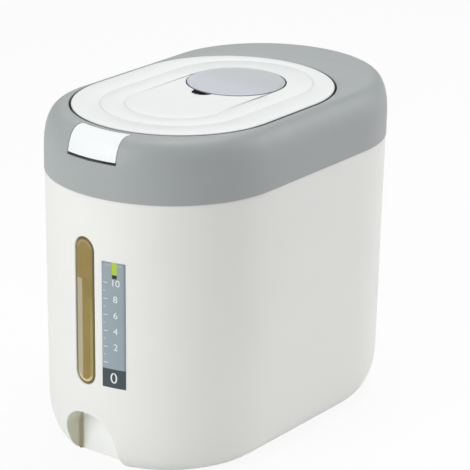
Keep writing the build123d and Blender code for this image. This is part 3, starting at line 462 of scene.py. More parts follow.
def wall_text(name, words, centre_x, centre_z, height):
    """Text as a flat mesh, centred on a place, with every point moved to the wall's y."""
    curve = bpy.data.curves.new(name, "FONT")
    curve.body = words
    curve.size = height * MM * 1.4
    curve.align_x = "CENTER"
    curve.align_y = "CENTER"
    holder = bpy.data.objects.new(name, curve)
    mesh = bpy.data.meshes.new_from_object(holder)
    bpy.data.objects.remove(holder)
    for vertex in mesh.vertices:
        x, z = vertex.co.x / MM + centre_x, vertex.co.y / MM + centre_z
        vertex.co = np.array([x, offset_wall(x, z, NUMBER_OUT), z]) * MM
    thing = linked(name, mesh)
    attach(thing, "root")
    return thing


numbers = [wall_text(f"label_number_{2 * k}", str(2 * k), 21.8, level_z[k], 5.2) for k in range(1, 6)]
numbers.append(wall_text("label_number_0", "0", 20.2, 76.9, 8.4))
print("label marks:", len(ticks), "ticks and", len(numbers), "numbers")

# %% [markdown]
# ## The collar
# The grey collar has a wall, a soft shoulder, a flat top, the well of the lid, a gutter, and the rim of
# the mouth. Its outside follows the bucket's plan and its well the lid's, whose ends are rounder and sit
# further forward. So a column is a straight line here, from the well's outline outwards, square to it,
# or straight to the front or back where a cut-out has upright edges. Outer rows are found on the columns
# by their distance from the bucket's middle line, inner rows by their distance from the lid's.

# %% Columns of the collar
COLLAR_R, COLLAR_LOW, COLLAR_TOP = 92.5, 213.4, 258.8
SHOULDER_LOW, SHOULDER_RUN, SHOULDER_POWER = 227.0, 14.5, 2.5
LID_FRONT_Y, LID_BACK_Y, LID_R = -50.65, 12.25, 78.6
WELL_R, RIM_R = LID_R + 1.7, LID_R - 10.7


def end_columns(flat_x, blended, round_turns, centre_y, side):
    """Starts and directions of the columns on one round end of the well, from one side to the other.

    The flat ones lead straight out, the blended ones turn by a share of their angle, the rest by all."""
    blend_turns, blend_shares = np.array(blended).T
    turn = np.r_[np.arcsin(flat_x / WELL_R), np.radians(blend_turns), np.radians(round_turns)]
    lean = np.r_[0 * flat_x, blend_shares, np.ones(len(round_turns))] * turn
    turn = np.r_[-turn[::-1], turn[1:]]
    lean = np.r_[-lean[::-1], lean[1:]]
    start = pairs(WELL_R * np.sin(turn), centre_y + side * WELL_R * np.cos(turn))
    return start, pairs(np.sin(lean), side * np.cos(lean))


def distance(points, front_y, back_y):
    """Distance in plan from the middle line between two centres."""
    return np.hypot(points[..., 0], points[..., 1] - np.clip(points[..., 1], front_y, back_y))


def reach(start, lead, wanted, front_y, back_y):
    """Points on the columns at the wanted distances from a middle line, found by halving."""
    wanted = np.broadcast_to(wanted, (len(np.atleast_2d(wanted)), len(start)))
    low, high = np.full(wanted.shape, -25.0), np.full(wanted.shape, 75.0)
    for _ in range(40):
        middle = (low + high) / 2
        outside = distance(start + middle[..., None] * lead, front_y, back_y) > wanted
        low, high = np.where(outside, low, middle), np.where(outside, middle, high)
    return start + middle[..., None] * lead


front_flat = np.array([0, 4, 8, 12.1, 15, 18, 20.5, 22.5])
front_blend = [(19, 0.15), (22, 0.35), (25.5, 0.6), (29, 0.8), (33, 0.95)]
front_start, front_lead = end_columns(front_flat, front_blend, np.arange(37, 89, 3.0), LID_FRONT_Y, -1)
back_flat = np.array([0, 4, 8, 12, 16])
back_blend = [(14, 0.2), (17, 0.4), (20.5, 0.65), (24, 0.85), (27.5, 1)]
back_start, back_lead = end_columns(back_flat, back_blend, np.arange(31, 89, 3.0), LID_BACK_Y, 1)
side_y = np.linspace(LID_FRONT_Y, LID_BACK_Y, 16)
right_start = pairs(WELL_R, side_y)
column_start = np.concatenate([front_start, right_start, back_start[::-1], right_start[::-1] * [-1, 1]])
side_lead = np.tile([1.0, 0.0], (len(side_y), 1))
column_lead = np.concatenate([front_lead, side_lead, back_lead[::-1], -side_lead])
print("columns round the collar:", len(column_start))

# %% [markdown]
# ## The collar's rows
# The shoulder is a superellipse, which stays upright longer than a circle and turns faster at the top.
# On the long sides it meets the well before it is flat, so rows that would pass the well are held at
# its edge, at the height that the shoulder has there.

# %% Rows of the collar
def shoulder(turn):
    """Radius and height on the shoulder: run * (1 - cos^(2/p)), rise * sin^(2/p)."""
    radius = COLLAR_R - SHOULDER_RUN * (1 - np.cos(turn) ** (2 / SHOULDER_POWER))
    height = SHOULDER_LOW + (COLLAR_TOP - SHOULDER_LOW) * np.sin(turn) ** (2 / SHOULDER_POWER)
    return radius, height


def shoulder_turn(z):
    """The turn at which the shoulder reaches a height."""
    share = (z - SHOULDER_LOW) / (COLLAR_TOP - SHOULDER_LOW)
    return np.arcsin(share ** (SHOULDER_POWER / 2))


def shoulder_height(radius):
    """Height of the shoulder at a radius, the same curve read the other way."""
    share = np.clip(1 - (COLLAR_R - radius) / SHOULDER_RUN, 0, 1)
    level = (1 - share**SHOULDER_POWER) ** (1 / SHOULDER_POWER)
    return SHOULDER_LOW + (COLLAR_TOP - SHOULDER_LOW) * level


shoulder_steps = [0, 2, 4, 7, 10, 14, 20, 26, 32, 38, 44, 50, 56, 62, 68, 73, 77, 80, 83, 85.5, 87.5, 89, 90]
SHOULDER_TURNS = np.radians(shoulder_steps)
FLAP_HALF, FLAP_OPEN_LOW, FLAP_STRIP = 22.5, 239.5, 3.3
SLOT_HALF, SLOT_LOW, SLOT_HIGH = 12.1, 246.2, 249.3
ARM_NEAR, ARM_FAR, ARM_SLOT_Y = 8.0, 16.0, 82.0
GUTTER_R, GUTTER_Z, MOUTH_Z = 71.0, 243.0, 247.5
lower = np.array([COLLAR_LOW, 216.0, 220.0, 224.0])
turns = np.sort(np.append(SHOULDER_TURNS, shoulder_turn(FLAP_OPEN_LOW)))
shoulder_r, shoulder_z = shoulder(turns)
well_from_middle = distance(column_start, -END_Y, END_Y)
edge_round = 0.6
flat_r = COLLAR_R - SHOULDER_RUN
lip_r = np.where(well_from_middle + edge_round > flat_r - 1.5, well_from_middle + edge_round, flat_r)
lip_z = shoulder_height(lip_r)
outer_r = np.r_[np.full(len(lower), COLLAR_R), shoulder_r][:, None] + 0 * lip_r
outer_z = np.r_[lower, shoulder_z][:, None] + 0 * lip_r
at_lip = outer_r < lip_r + 0.5
outer_r, outer_z = np.where(at_lip, lip_r, outer_r), np.where(at_lip, lip_z, outer_z)
outer_points = reach(column_start, column_lead, outer_r, -END_Y, END_Y)

column_x, at_front = column_start[:, 0], column_start[:, 1] < LID_FRONT_Y
behind_flap = at_front & (np.abs(column_x) <= FLAP_HALF + 0.01)
edge_turn = np.radians([0, 30, 60, 90])
inner_r = [WELL_R + edge_round * (1 - np.sin(t)) for t in edge_turn] + [WELL_R] * 4
gutter_row = len(inner_r)
inner_r += [GUTTER_R, RIM_R, RIM_R]
inner_points = reach(column_start, column_lead, np.array(inner_r)[:, None], LID_FRONT_Y, LID_BACK_Y)
flap_line = (outer_points[-1] + inner_points[0]) / 2
flap_line[behind_flap, 1] = column_start[behind_flap, 1] - FLAP_STRIP
arm_behind = (column_start[:, 1] > LID_BACK_Y) & (np.abs(column_x) <= ARM_FAR + 0.01)
inner_points[gutter_row, arm_behind, 1] = ARM_SLOT_Y
inner_z = [lip_z - edge_round * (1 - np.cos(t)) for t in edge_turn]
inner_z += [z + 0 * lip_z for z in (256.6, SLOT_HIGH, SLOT_LOW, GUTTER_Z, GUTTER_Z, GUTTER_Z, MOUTH_Z)]
plan_points = np.concatenate([outer_points, flap_line[None], inner_points])
all_z = np.concatenate([outer_z, lip_z[None], inner_z])
collar_points = stack(plan_points[..., 0], plan_points[..., 1], all_z)
print("rows of the collar:", len(collar_points))

# %% [markdown]
# ## The collar's openings
# The flap, the slider and the two arms of the hinge pass through the collar. Rows and columns were laid
# along the edges of their openings, so here too the quads inside are left out. The wall comes last,
# from a modifier.

# %% Build the collar
between_x = np.abs(column_x + np.roll(column_x, -1))[None, :] / 2
is_front = (at_front & np.roll(at_front, -1))[None, :]
is_back = (column_start[:, 1] > LID_BACK_Y)[None, :]
row_index = np.arange(len(collar_points) - 1)[:, None]
open_row = len(lower) + int(np.argmin(np.abs(turns - shoulder_turn(FLAP_OPEN_LOW))))
line_row = len(lower) + len(turns)
flap_open = is_front & (between_x < FLAP_HALF) & (row_index >= open_row) & (row_index < line_row)
slider_open = is_front & (between_x < SLOT_HALF) & (row_index == line_row + 6)
arm_rows = (row_index >= line_row + 5) & (row_index < line_row + 9)
arm_open = is_back & (between_x > ARM_NEAR) & (between_x < ARM_FAR) & arm_rows
collar_grid = grid(collar_points, around=True, left_out=flap_open | slider_open | arm_open)
collar = piece("collar_shell", [collar_grid], "root", ["collar"], sharp=40)
finish_edges(collar, wall=2.2, edge=0.4)

# %% [markdown]
# ## The push flap
# The flap is a piece of the same shoulder, so it uses the same formula with its own columns, and starts
# a little higher, which leaves the dark gap below it. Its top edge is an arc round the lid's centre, so
# points that would pass it are held there. Behind it, two lugs hang on the pin, and a rib pushes the
# slider.

# %% Build the flap, its lugs and its rib
flap_x = np.linspace(-22, 22, 23)
flap_low_turn = shoulder_turn(241.5)
flap_turns = np.r_[flap_low_turn, SHOULDER_TURNS[SHOULDER_TURNS > flap_low_turn + 0.01]]
flap_r, flap_z = shoulder(flap_turns)
flap_y = -END_Y - np.sqrt(flap_r[:, None] ** 2 - flap_x[None, :] ** 2)
FLAP_GAP, FLAP_HOLD = 0.5, 0.35
top_y = LID_FRONT_Y - np.sqrt(WELL_R**2 - flap_x**2) - FLAP_STRIP - FLAP_GAP
held = flap_y > top_y - FLAP_HOLD
flap_z = np.where(held, COLLAR_TOP, flap_z[:, None])
flap_points = stack(flap_x[None, :], np.where(held, top_y, flap_y), flap_z)
flap_top = stack(flap_x, top_y, COLLAR_TOP)
flap_grid = grid(np.concatenate([flap_points, flap_top[None]]))
flap = piece("push_flap", [flap_grid], "button", ["latch_button"])
finish_edges(flap, wall=2.0, edge=0.5)


def prism(outline, x0, x1):
    """An outline in the upright plane, given as (y, z), carried straight from one x to another."""
    outline = np.array(outline + outline[:1], float)
    x = np.array([x0, x1])[:, None]
    return grid(stack(x, outline[None, :, 0], outline[None, :, 1]))


PIN_Y, PIN_Z = -138.5, 252.0
lug_arc = arc_points((PIN_Y, PIN_Z), 2.3, 180, 360, 13)
lug_outline = [(PIN_Y - 2.3, 256.4)] + [tuple(point) for point in lug_arc] + [(PIN_Y + 2.3, 256.4)]
lugs = [prism(lug_outline, x - 1.5, x + 1.5) for x in (-17.5, 17.5)]
rib_outline = [(-149.8, 241.8), (-149.8, 244.6), (-145.5, 244.6), (-145.5, 241.8)]
flap_rib = prism(rib_outline, -6, 6)
flap_back = piece("flap_lugs", [*lugs, flap_rib], "button", close=True)

# %% [markdown]
# ## The lid cover
# The lid is a shallow tray turned over, with a soft edge, a skirt, two soft grooves in its top and a
# round seat for the cap. All are rings of the same plan, so the lid is again a list of rows. The inner
# groove fades out where it would meet the seat, and in front of the cap the top dips in a crescent for
# a fingernail.

# %% Build the lid cover
LID_TOP, LID_EDGE, UNDER_Z, SKIRT_LOW = 259.2, 0.9, 257.0, 255.0
CAP_Y, SEAT_R, SEAT_Z, SEAT_LOW, HOLE_R, BOSS_R = 19.5, 38.0, 258.0, 254.5, 34.5, 43.5
NOTCH_X, NOTCH_Y, NOTCH_R, NOTCH_DEEP, NOTCH_SIDE = -2.9, -16.6, 9.3, 1.6, 0.7
FADE_FROM, FADE_RUN = 40.0, 1.5


def fade(value, width):
    """A smooth step from 0 to 1 as the value goes from 0 to the width: 3 s^2 - 2 s^3."""
    share = np.clip(value / width, 0, 1)
    return share * share * (3 - 2 * share)


def lid_ring(inset, z):
    """A row on the lid's outline, drawn in by the inset: radius, both centres, height and groove depth."""
    return (LID_R - inset, LID_FRONT_Y, LID_BACK_Y, z, 0.0)


def cap_ring(radius, z):
    """A row on a circle round the cap's centre."""
    return (radius, CAP_Y, CAP_Y, z, 0.0)


def groove_rows(radius, front_y, back_y, sign=1):
    """Seven rows across a groove 2 wide, in a soft curve. A depth below zero marks one that fades."""
    profile = [(0, 0.0), (0.3, 0.1), (0.65, 0.3), (1.0, 0.4), (1.35, 0.3), (1.7, 0.1), (2.0, 0.0)]
    return [(radius - across, front_y, back_y, LID_TOP, deep * sign) for across, deep in profile]


edge_turn = np.radians([0, 22.5, 45, 67.5, 90])
edge_rows = [lid_ring(LID_EDGE * (1 - np.cos(t)), LID_TOP - LID_EDGE * (1 - np.sin(t))) for t in edge_turn]
grooves = groove_rows(57.5, -52.1, 22.7) + groove_rows(39.5, -52.0, CAP_Y, sign=-1)
last_groove, seat_top = np.array(grooves[-1]), np.array(cap_ring(SEAT_R + 0.3, LID_TOP))
shares = np.r_[np.linspace(0, 0.9, 7)[1:], np.linspace(0.91, 1, 20)]
to_seat = [tuple(last_groove + (seat_top - last_groove) * share) for share in shares]
seat = [(SEAT_R, LID_TOP - 0.3), (SEAT_R, SEAT_Z), (HOLE_R + 0.3, SEAT_Z), (HOLE_R, SEAT_Z - 0.3)]
seat += [(HOLE_R, SEAT_LOW), (BOSS_R, SEAT_LOW), (BOSS_R, UNDER_Z)]
skirt = [(2.0, UNDER_Z), (2.0, SKIRT_LOW), (0.3, SKIRT_LOW), (0.0, SKIRT_LOW + 0.3)]
under_rows = [cap_ring(*row) for row in seat] + [lid_ring(*row) for row in skirt]
under_rows.append(lid_ring(0.0, LID_TOP - LID_EDGE))
lid_rows = np.array(edge_rows + grooves + to_seat + under_rows)
lid_turns = np.unique(np.r_[-85:-26:4.0, -26:10:0.5, 10:86:4.0])
radius, front_y, back_y, z, deep = lid_rows.T[:, :, None]
x, y = round_plan(angle_columns(lid_turns), radius, front_y, back_y)
from_cap = np.hypot(x, y - CAP_Y)
groove_depth = np.where(deep < 0, -deep * fade(from_cap - FADE_FROM, FADE_RUN), deep)
on_top = (z > SEAT_Z + 0.5) & (from_cap > SEAT_R - 0.1)
from_notch = np.hypot(x - NOTCH_X, y - NOTCH_Y)
notch_depth = np.where(on_top, NOTCH_DEEP * fade(NOTCH_R - from_notch, NOTCH_SIDE), 0)
lid_z = np.minimum(z - groove_depth, np.where(notch_depth > 0, LID_TOP - notch_depth, z))
lid_grid = grid(stack(x, y, lid_z), around=True)
lid = piece("lid_plate", [lid_grid], "lid", ["lid_cover"], sharp=50)

hook = [(-127.5, 257.2), (-127.5, 243.8), (-127.1, 243.4), (-124.2, 243.4), (-123.8, 243.8)]
hook += [(-123.8, 244.6), (-125.3, 246.1), (-125.3, 257.2)]
catch = piece("lid_catch", [prism(hook, -7, 7)], "lid", close=True)
finish_edges(catch, edge=0.25)

# %% [markdown]
# ## The desiccant cap
# The cap is turned: one profile carried round a circle. Its edge is a quarter circle, its top a very
# shallow dish that sinks by a parabola, with a smooth step from the edge into it, and below it a plug
# carries the seal.

# %% Build the cap
CAP_R, CAP_EDGE, CAP_TOP, CAP_UNDER = 37.5, 1.5, 260.0, 258.2
PLUG_R, PLUG_IN, PLUG_LOW = 33.7, 31.5, 252.6
DISH_R, RIM_DROP, RIM_RUN, DISH_DROP = 35.9, 0.35, 1.4, 0.42
profile = [(0.01, CAP_UNDER), (PLUG_IN, CAP_UNDER), (PLUG_IN, PLUG_LOW + 0.2), (PLUG_IN + 0.2, PLUG_LOW)]
profile += [(PLUG_R - 0.3, PLUG_LOW), (PLUG_R, PLUG_LOW + 0.3), (PLUG_R, CAP_UNDER)]
profile += [(CAP_R - 0.2, CAP_UNDER), (CAP_R, CAP_UNDER + 0.2)]
edge_turn = np.radians([0, 15, 30, 45, 60, 75, 90])
profile += [(CAP_R - CAP_EDGE * (1 - np.cos(t)), CAP_TOP - CAP_EDGE * (1 - np.sin(t))) for t in edge_turn]
dish = np.r_[np.linspace(DISH_R, 34.5, 8), np.linspace(33, 0.01, 12)]
sunk = RIM_DROP * fade(DISH_R - dish, RIM_RUN) + DISH_DROP * (1 - (dish / DISH_R) ** 2)
profile = np.vstack([profile, pairs(dish, CAP_TOP - sunk)])
turn = np.radians(np.arange(0, 360, 3.0))
cap_points = stack(profile[:, :1] * np.cos(turn), CAP_Y + profile[:, :1] * np.sin(turn), profile[:, 1:])
cap_grid = grid(cap_points, around=True)
cap = piece("cap_disc", [cap_grid], "cap", ["desiccant_cap"], close=True)

# %% [markdown]
# ## Steps of a finish
# A finish is a sum: how far is a point from an edge, and which colour lies there. Each function adds a
# node or two and hands on the output, so a finish reads like a formula, in millimetres.

# %% Small functions that add nodes
def add_node(near, kind, inputs, **settings):
    """Adds a node beside a socket or node, makes its settings, links or fills its inputs.

    Every socket and node knows its tree, as id_data."""
    tree = near.id_data
    node = tree.nodes.new("ShaderNode" + kind)
    for setting, value in settings.items():
        setattr(node, setting, value)
    for key, value in inputs.items():
        if isinstance(value, bpy.types.NodeSocket):
            tree.links.new(value, node.inputs[key])
        else:
            node.inputs[key].default_value = value
    return node.outputs


def noise(coords, scale, detail):
    """Cloudy noise round a half, with about so many clouds to the metre."""
    return add_node(coords, "TexNoise", {"Vector": coords, "Scale": scale, "Detail": detail})["Fac"]


def spread(value, low, high, start=0.3, end=0.7):
    """Maps a noise from its usual range to low..high."""
    inputs = {"Value": value, "From Min": start, "From Max": end, "To Min": low, "To Max": high}
    return add_node(value, "MapRange", inputs)["Result"]


def soft_step(value, start, end):
    """0 before the start, 1 past the end, both in millimetres, and a smooth step between."""
    inputs = {"Value": value, "From Min": start * MM, "From Max": end * MM}
    return add_node(value, "MapRange", inputs, interpolation_type="SMOOTHSTEP")["Result"]


def combined(operation, first, second=0.0):
    """One step of arithmetic on two values, each a number or a socket."""
    return add_node(first, "Math", {0: first, 1: second}, operation=operation)[0]


def product(*shares):
    """All the shares multiplied, so it is 1 only where each of them is 1."""
    whole = shares[0]
    for share in shares[1:]:
        whole = combined("MULTIPLY", whole, share)
    return whole


def root_sum(first, second):
    """The square root of the sum of both squares."""
    squares = [product(side, side) for side in (first, second)]
    return combined("SQRT", combined("ADD", *squares))


def places(coords):
    """The x, y and z of a point, in metres."""
    return add_node(coords, "SeparateXYZ", {0: coords})


def srgb(red, green, blue):
    """A screen colour, 0 to 255, as the linear light that a shader takes."""
    value = np.array([red, green, blue]) / 255
    return tuple(np.where(value <= 0.04045, value / 12.92, ((value + 0.055) / 1.055) ** 2.4))


def mixed(share, first, second):
    """A colour between two, by a share from 0 to 1. Either may be a colour or a socket."""
    ends = [end if isinstance(end, bpy.types.NodeSocket) else (*end, 1) for end in (first, second)]
    inputs = {"Factor": share, "A": ends[0], "B": ends[1]}
    return add_node(share, "Mix", inputs, data_type="RGBA")["Result"]


def layered(tone, *layers):
    """The tone with each layer, a share and a screen colour, mixed over it in turn."""
    for share, colour in layers:
        tone = mixed(share, tone, srgb(*colour))
    return tone


def blank(name):
    """A new material and its shader."""
    material = bpy.data.materials.new(name)
    material.use_nodes = True
    return material, material.node_tree.nodes["Principled BSDF"]


print("one white in linear light:", srgb(240, 241, 237))

# %% [markdown]
# ## Painted shade in the hollows
# In narrow places light is lost between the walls, and plastic looks darker or warmer. Lamps alone gave less
# of it than the real bucket shows, so shade is painted into the colour by place: by height in the grooves,
# and by distance round the cap and in the arch. The arch's back is painted paler, as painted light.

# %% Painted shade and light on the lid, the cap and the recess
def round_the_cap(coords):
    """Distance in plan from the cap's centre, then y and z, in metres."""
    across, deep, up = places(coords)
    return root_sum(across, combined("SUBTRACT", deep, CAP_Y * MM)), deep, up


def lid_painted_shade(coords, tone):
    """Painted shade: grooves darker with depth, and the notch and the seat below the cap nearly black.

    In the gap to the collar the side gets painted shade too, down to where the skirt begins."""
    out, _, up = round_the_cap(coords)
    # Painted shade by height and by distance from the cap: grooves, the gap to the collar, notch and seat.
    groove = soft_step(up, LID_TOP - 0.04, LID_TOP - 0.5)
    below_edge = soft_step(up, LID_TOP - 0.55, LID_TOP - 0.9)
    gap = product(below_edge, soft_step(up, UNDER_Z - 0.2, UNDER_Z + 0.05))
    near_cap = soft_step(out, SEAT_R + 11, SEAT_R + 8)
    hollow = product(near_cap, soft_step(up, LID_TOP - 0.55, LID_TOP - 0.95))
    return layered(tone, (groove, (220, 223, 222)), (gap, (128, 130, 129)), (hollow, (12, 12, 11)))


def cap_painted_shade(coords, tone):
    """Painted shade: the dish darker and greyer towards the back, and the side dark below its edge."""
    out, deep, up = round_the_cap(coords)
    behind = soft_step(deep, 0, 36)
    below_edge = soft_step(up, CAP_TOP - 0.25, CAP_TOP - 1)
    side = product(below_edge, soft_step(out, CAP_R - 1.3, CAP_R - 0.5))
    # Painted shade towards the back of the dish and on the side below the edge.
    return layered(tone, (behind, (192, 197, 200)), (side, (72, 74, 76)))


def recess_painted_shade_and_light(coords, tone):
    """Recess: painted warm grey shade on the left wall, darkest in the corner; painted light on the back.

    Inside the arch, the distance from the centre line of its left corner is below the corner's radius."""
    across, deep, up = places(coords)
    left, right = RECESS_X - RECESS_W / 2, RECESS_X + RECESS_W / 2
    corner_x, corner_z = left + RECESS_CORNER, RECESS_H - RECESS_CORNER
    above = combined("MAXIMUM", combined("SUBTRACT", up, corner_z * MM))
    out = root_sum(combined("SUBTRACT", across, corner_x * MM), above)
    before_back = soft_step(deep, RECESS_BACK + 2, RECESS_BACK + 0.8)
    inside = soft_step(out, RECESS_CORNER + 0.6, RECESS_CORNER + 0.1)
    at_wall = soft_step(out, RECESS_CORNER - 2.4, RECESS_CORNER - 1)
    wall = product(inside, soft_step(across, corner_x + 4, corner_x - 4), before_back, at_wall)
    corner = product(wall, soft_step(deep, RECESS_BACK - 5.5, RECESS_BACK - 2.5))
    from_left, to_right = soft_step(across, left + 0.5, left + 3), soft_step(across, right + 0.5, right - 0.5)
    back = product(from_left, to_right, soft_step(deep, RECESS_BACK - 1.5, RECESS_BACK - 0.7), before_back)
    # Painted shade on the left wall and in its corner, and painted light on the back.
    return layered(tone, (wall, (215, 216, 192)), (corner, (186, 179, 148)), (back, (252, 253, 252)))


print("shaded by place: lid, cap and recess")

# %% [markdown]
# ## Moulded plastic
# Moulded plastic differs from paint by a very fine grain from the mould, a gloss that isn't quite even,
# and a colour that drifts a little where the melt flowed. One helper builds that from noise at three
# scales, and each part has its own numbers.

# %% The plastics
def finish(name, colours, clouds, gloss, relief, usual=(0.3, 0.7), shades=None, stretch=None):
    """A material from three noises, each given by its scale and detail.

    Clouds mix two colours, gloss spreads the roughness between its last two numbers, and relief is a bump as
    high as its last number in millimetres. Shades is a function that paints shade and light into the colours
    by place."""
    material, shader = blank(name)
    coords = add_node(shader, "TexCoord", {})["Object"]
    if stretch:
        coords = add_node(coords, "Mapping", {"Vector": coords, "Scale": stretch})["Vector"]
    tone = mixed(spread(noise(coords, *clouds), 0, 1, *usual), *colours)
    if shades:
        tone = shades(coords, tone)
    rough = spread(noise(coords, *gloss[:2]), *gloss[2:])
    bump = {"Height": noise(coords, *relief[:2]), "Distance": relief[2] * MM, "Strength": 1.0}
    normal = add_node(shader, "Bump", bump)["Normal"]
    for socket, value in (("Base Color", tone), ("Roughness", rough), ("Normal", normal)):
        material.node_tree.links.new(value, shader.inputs[socket])
    return material


def moulded(name, colour, rough, drift, grain, shades=None):
    """Plastic: colour drifts by a share, gloss by a fifth, and a fine grain lies on top."""
    colours = [tuple(min(1, c * (1 + way * drift)) for c in srgb(*colour)) for way in (-1, 1)]
    return finish(name, colours, (9, 3), (45, 4, rough * 0.9, rough * 1.12), grain, shades=shades)


FINE, COARSE = (2200, 2, 0.01), (1400, 2, 0.03)
PLASTICS = {
    "bucket_white": ((240, 241, 237), 0.45, 0.012, FINE, recess_painted_shade_and_light),
    "collar_grey": ((166, 171, 171), 0.45, 0.02, FINE),
    "lid_white": ((238, 241, 240), 0.40, 0.010, FINE, lid_painted_shade),
    "flap_white": ((246, 249, 250), 0.40, 0.006, FINE),
    "cap_grey": ((202, 206, 214), 0.34, 0.012, FINE, cap_painted_shade),
    "inner_white": ((232, 233, 230), 0.5, 0.02, COARSE),
    "inner_grey": ((150, 154, 154), 0.55, 0.03, COARSE),
}
finishes = {name: moulded(name, *numbers) for name, numbers in PLASTICS.items()}
print("plastics:", len(finishes))

# %% [markdown]
# ## Amber, print, rubber and steel
# The sight window is clear amber, with painted shade at its edges, where light leaves it, painted highlights
# near its ends, and paler lower down: all are painted by x and z. The label is a satin print with a faint
# screen, seals are soft and dull with a little dust, and steel is bright with fine drawing lines.

# %% The other finishes
def amber_bands(coords, tone):
    """Amber: distance from the middle line gives painted shade at the edge, and x and z the pale bands."""
    across, _, up = places(coords)
    low, high = WINDOW_ENDS
    middle = combined("MINIMUM", combined("MAXIMUM", up, low * MM), high * MM)
    out = root_sum(combined("SUBTRACT", across, WINDOW_X * MM), combined("SUBTRACT", up, middle))
    # Two pale bands: along the left side below about 148 mm, and along the right side, paler lower down.
    band = product(soft_step(across, -7.6, -8.4), soft_step(up, 149.5, 147.5))
    glow = product(soft_step(across, -1.5, 1), soft_step(up, 145, 110), 0.7)
    # Painted highlights in a band inside the edge: round the lower end, and weaker round the upper end.
    ring = product(soft_step(out, 5, 5.8), soft_step(out, 7.4, 6.8))
    low_end_highlight = product(ring, soft_step(up, low, low - 4))
    glint = product(ring, soft_step(up, high, high + 3), 0.6)
    # Painted shade at the edge, where light leaves the amber.
    edge = soft_step(out, 6.9, 7.8)
    tone = layered(tone, (band, (178, 169, 140)), (glow, (170, 162, 92)), (low_end_highlight, (218, 200, 150)))
    return layered(tone, (glint, (178, 156, 108)), (edge, (106, 93, 44)))


def print_finish(name, colour):
    """Print: a satin ink, mixed with a darker one by the noise of a very fine screen."""
    ink = srgb(*colour)
    colours = tuple(c * 0.94 for c in ink), ink
    return finish(name, colours, (4000, 1), (200, 2, 0.30, 0.38), (4000, 1, 0.004))


def rubber(name, colour):
    """Rubber: dull, and greyer and duller where the noise lays dust on it."""
    clean = srgb(*colour)
    colours = clean, tuple(c * 0.85 + 0.06 for c in clean)
    return finish(name, colours, (350, 5), (350, 5, 0.62, 0.78), (2600, 3, 0.02), usual=(0.45, 0.75))


def steel(name, lines_axis):
    """Steel with fine drawing lines: noise stretched a hundredfold along one axis."""
    stretch = [60 if axis == lines_axis else 6000 for axis in "XYZ"]
    greys = srgb(176, 176, 178), srgb(205, 205, 206)
    material = finish(name, greys, (1, 2), (1, 2, 0.22, 0.36), (1, 2, 0.004), stretch=stretch)
    material.node_tree.nodes["Principled BSDF"].inputs["Metallic"].default_value = 1.0
    return material


ambers = srgb(150, 129, 62), srgb(138, 117, 50)
amber = finish("amber_pane", ambers, (60, 3), (300, 3, 0.16, 0.24), (120, 2, 0.03), shades=amber_bands)
INKS = {
    "label_grey": (154, 169, 177),
    "label_dark": (58, 72, 78),
    "label_lime": (182, 214, 40),
    "label_black": (28, 32, 34),
    "label_ink": (244, 246, 246),
}
SEALS = {"seal_grey": (120, 122, 122), "seal_white": (214, 216, 214)}
STEELS = {"pin_steel": "X", "screw_steel": "Z", "spring_steel": "Y"}
finishes["amber_pane"] = amber
for maker, table in ((print_finish, INKS), (rubber, SEALS), (steel, STEELS)):
    finishes |= {name: maker(name, value) for name, value in table.items()}
print("finishes:", len(finishes))

# %% [markdown]
# ## Dressing the parts
# Each new piece takes its finish. The inner parts, which show when the lid is open, keep their own
# solids and get finishes too.

# %% Put the finishes on
looks = {
    "bucket_white": [bucket],
    "collar_grey": [collar],
    "lid_white": [lid, catch],
    "flap_white": [flap, flap_back],
    "cap_grey": [cap],
    "amber_pane": [pane],
    "label_grey": [label],
    "label_dark": [base_block],
    "label_lime": [full_bar],
    "label_black": [full_stop],
    "label_ink": [marks, *numbers],
    "inner_white": ["lid_liner", "desiccant_cup", "latch_slider", "lid_hinge_bracket"],
    "inner_grey": ["latch_housing", "hinge_housing"],
    "seal_grey": ["window_gasket"],
    "seal_white": ["lid_gasket", "cap_seal"],
    "pin_steel": ["latch_pin", "hinge_pin"],
    "screw_steel": ["latch_housing_screws", "hinge_housing_screws", "hinge_bracket_screws"],
    "spring_steel": ["latch_spring", "hinge_spring_left", "hinge_spring_right"],
}
for look, things in looks.items():
    for thing in things:
        thing = nodes[thing] if isinstance(thing, str) else thing
        thing.data.materials.clear()
        thing.data.materials.append(finishes[look])
print("looks:", len(looks), "on", sum(len(things) for things in looks.values()), "pieces")

# %% [markdown]
# ## Floor and sky
# The bucket stands on an even white ground. To the camera and to mirror rays the floor is nine tenths a
# white glow, and one tenth a real floor that takes the shadow. The sky is white to the camera, but dim
# as a light, so that the lamps can shape the bucket.

# %% Floor and backdrop
FLOOR_HALF, FLOOR_DOWN, GLOW_SHARE = 6, -0.0003, 0.9
SKY_LIGHT, SKY_SEEN = 0.27, 1.0
floor_mesh = bpy.data.meshes.new("floor")
corners = [(x * FLOOR_HALF, y * FLOOR_HALF, FLOOR_DOWN) for x, y in ((-1, -1), (1, -1), (1, 1), (-1, 1))]
floor_mesh.from_pydata(corners, [], [(0, 1, 2, 3)])
floor = linked("floor", floor_mesh)
floor_finish, shader = blank("floor_white")
shader.inputs["Base Color"].default_value = (0.9, 0.9, 0.9, 1)
shader.inputs["Roughness"].default_value = 0.8
glow = add_node(shader, "Emission", {"Strength": 1.0})["Emission"]
rays = add_node(shader, "LightPath", {})
seen = combined("MAXIMUM", rays["Is Camera Ray"], rays["Is Glossy Ray"])
blend = {0: product(seen, GLOW_SHARE), 1: shader.outputs["BSDF"], 2: glow}
surface = add_node(shader, "MixShader", blend)["Shader"]
output = floor_finish.node_tree.nodes["Material Output"]
floor_finish.node_tree.links.new(surface, output.inputs["Surface"])
floor_mesh.materials.append(floor_finish)

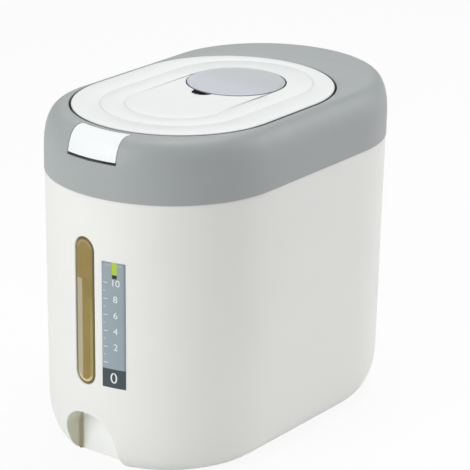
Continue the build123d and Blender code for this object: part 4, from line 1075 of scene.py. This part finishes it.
world = bpy.data.worlds.new("pale_sky")
bpy.context.scene.world = world
world.use_nodes = True
sky = world.node_tree.nodes["Background"]
sky.inputs["Color"].default_value = (1, 1, 1, 1)
rays = add_node(sky, "LightPath", {})
seen = combined("MAXIMUM", rays["Is Camera Ray"], rays["Is Transmission Ray"])
world.node_tree.links.new(spread(seen, SKY_LIGHT, SKY_SEEN, 0, 1), sky.inputs["Strength"])
print("floor:", 2 * FLOOR_HALF, "m wide; sky as a light:", SKY_LIGHT)

# %% [markdown]
# ## Lamps
# Four broad soft lamps: the front and the top one do most of the work, the right rear one lights the
# right side, and a weak one keeps the far left edge clear of the ground. Their powers were found by
# comparing the tones of plain areas.

# %% Lamps
LAMP_SIZE, AIM = 1.2, Vector((0, 0, 0.13))
LAMPS = {
    "front": ((-0.45, -1.82, 0.78), 17.5),
    "right_rear": ((1.3, 1.4, 0.85), 14),
    "top": ((0.0, 0.1, 2.1), 19),
    "left_rear": ((-0.9, 1.3, 1.4), 4),
}
for name, (place, power) in LAMPS.items():
    light = bpy.data.lights.new(name, "AREA")
    light.size = LAMP_SIZE
    light.energy = power
    lamp = linked(name, light)
    lamp.location = place
    lamp.rotation_euler = (Vector(place) - AIM).to_track_quat("Z", "Y").to_euler()
    print(f"{name}: {power} W at {place}")

# %% [markdown]
# ## Camera
# The camera stands in front of the bucket, to its right and a little above, far off with a long lens,
# so that upright lines stay nearly parallel. Its axes and place were fitted to the real outlines.

# %% Camera
right = (0.79632, 0.60467, 0.01607)
up = (-0.21830, 0.26252, 0.93991)
back = (0.56412, -0.75197, 0.34104)
place = (1.05547, -1.38555, 0.77364)
camera_data = bpy.data.cameras.new("camera")
camera_data.sensor_width = 36.0
camera_data.lens = 185.4
camera_data.clip_end = 50
camera = linked("camera", camera_data)
camera.matrix_world = Matrix([*zip(right, up, back, place), (0, 0, 0, 1)])
bpy.context.scene.camera = camera
bpy.context.scene.view_settings.view_transform = "Standard"
print("camera:", round(Vector(place).length, 3), "m from the base's middle, lens", camera_data.lens, "mm")
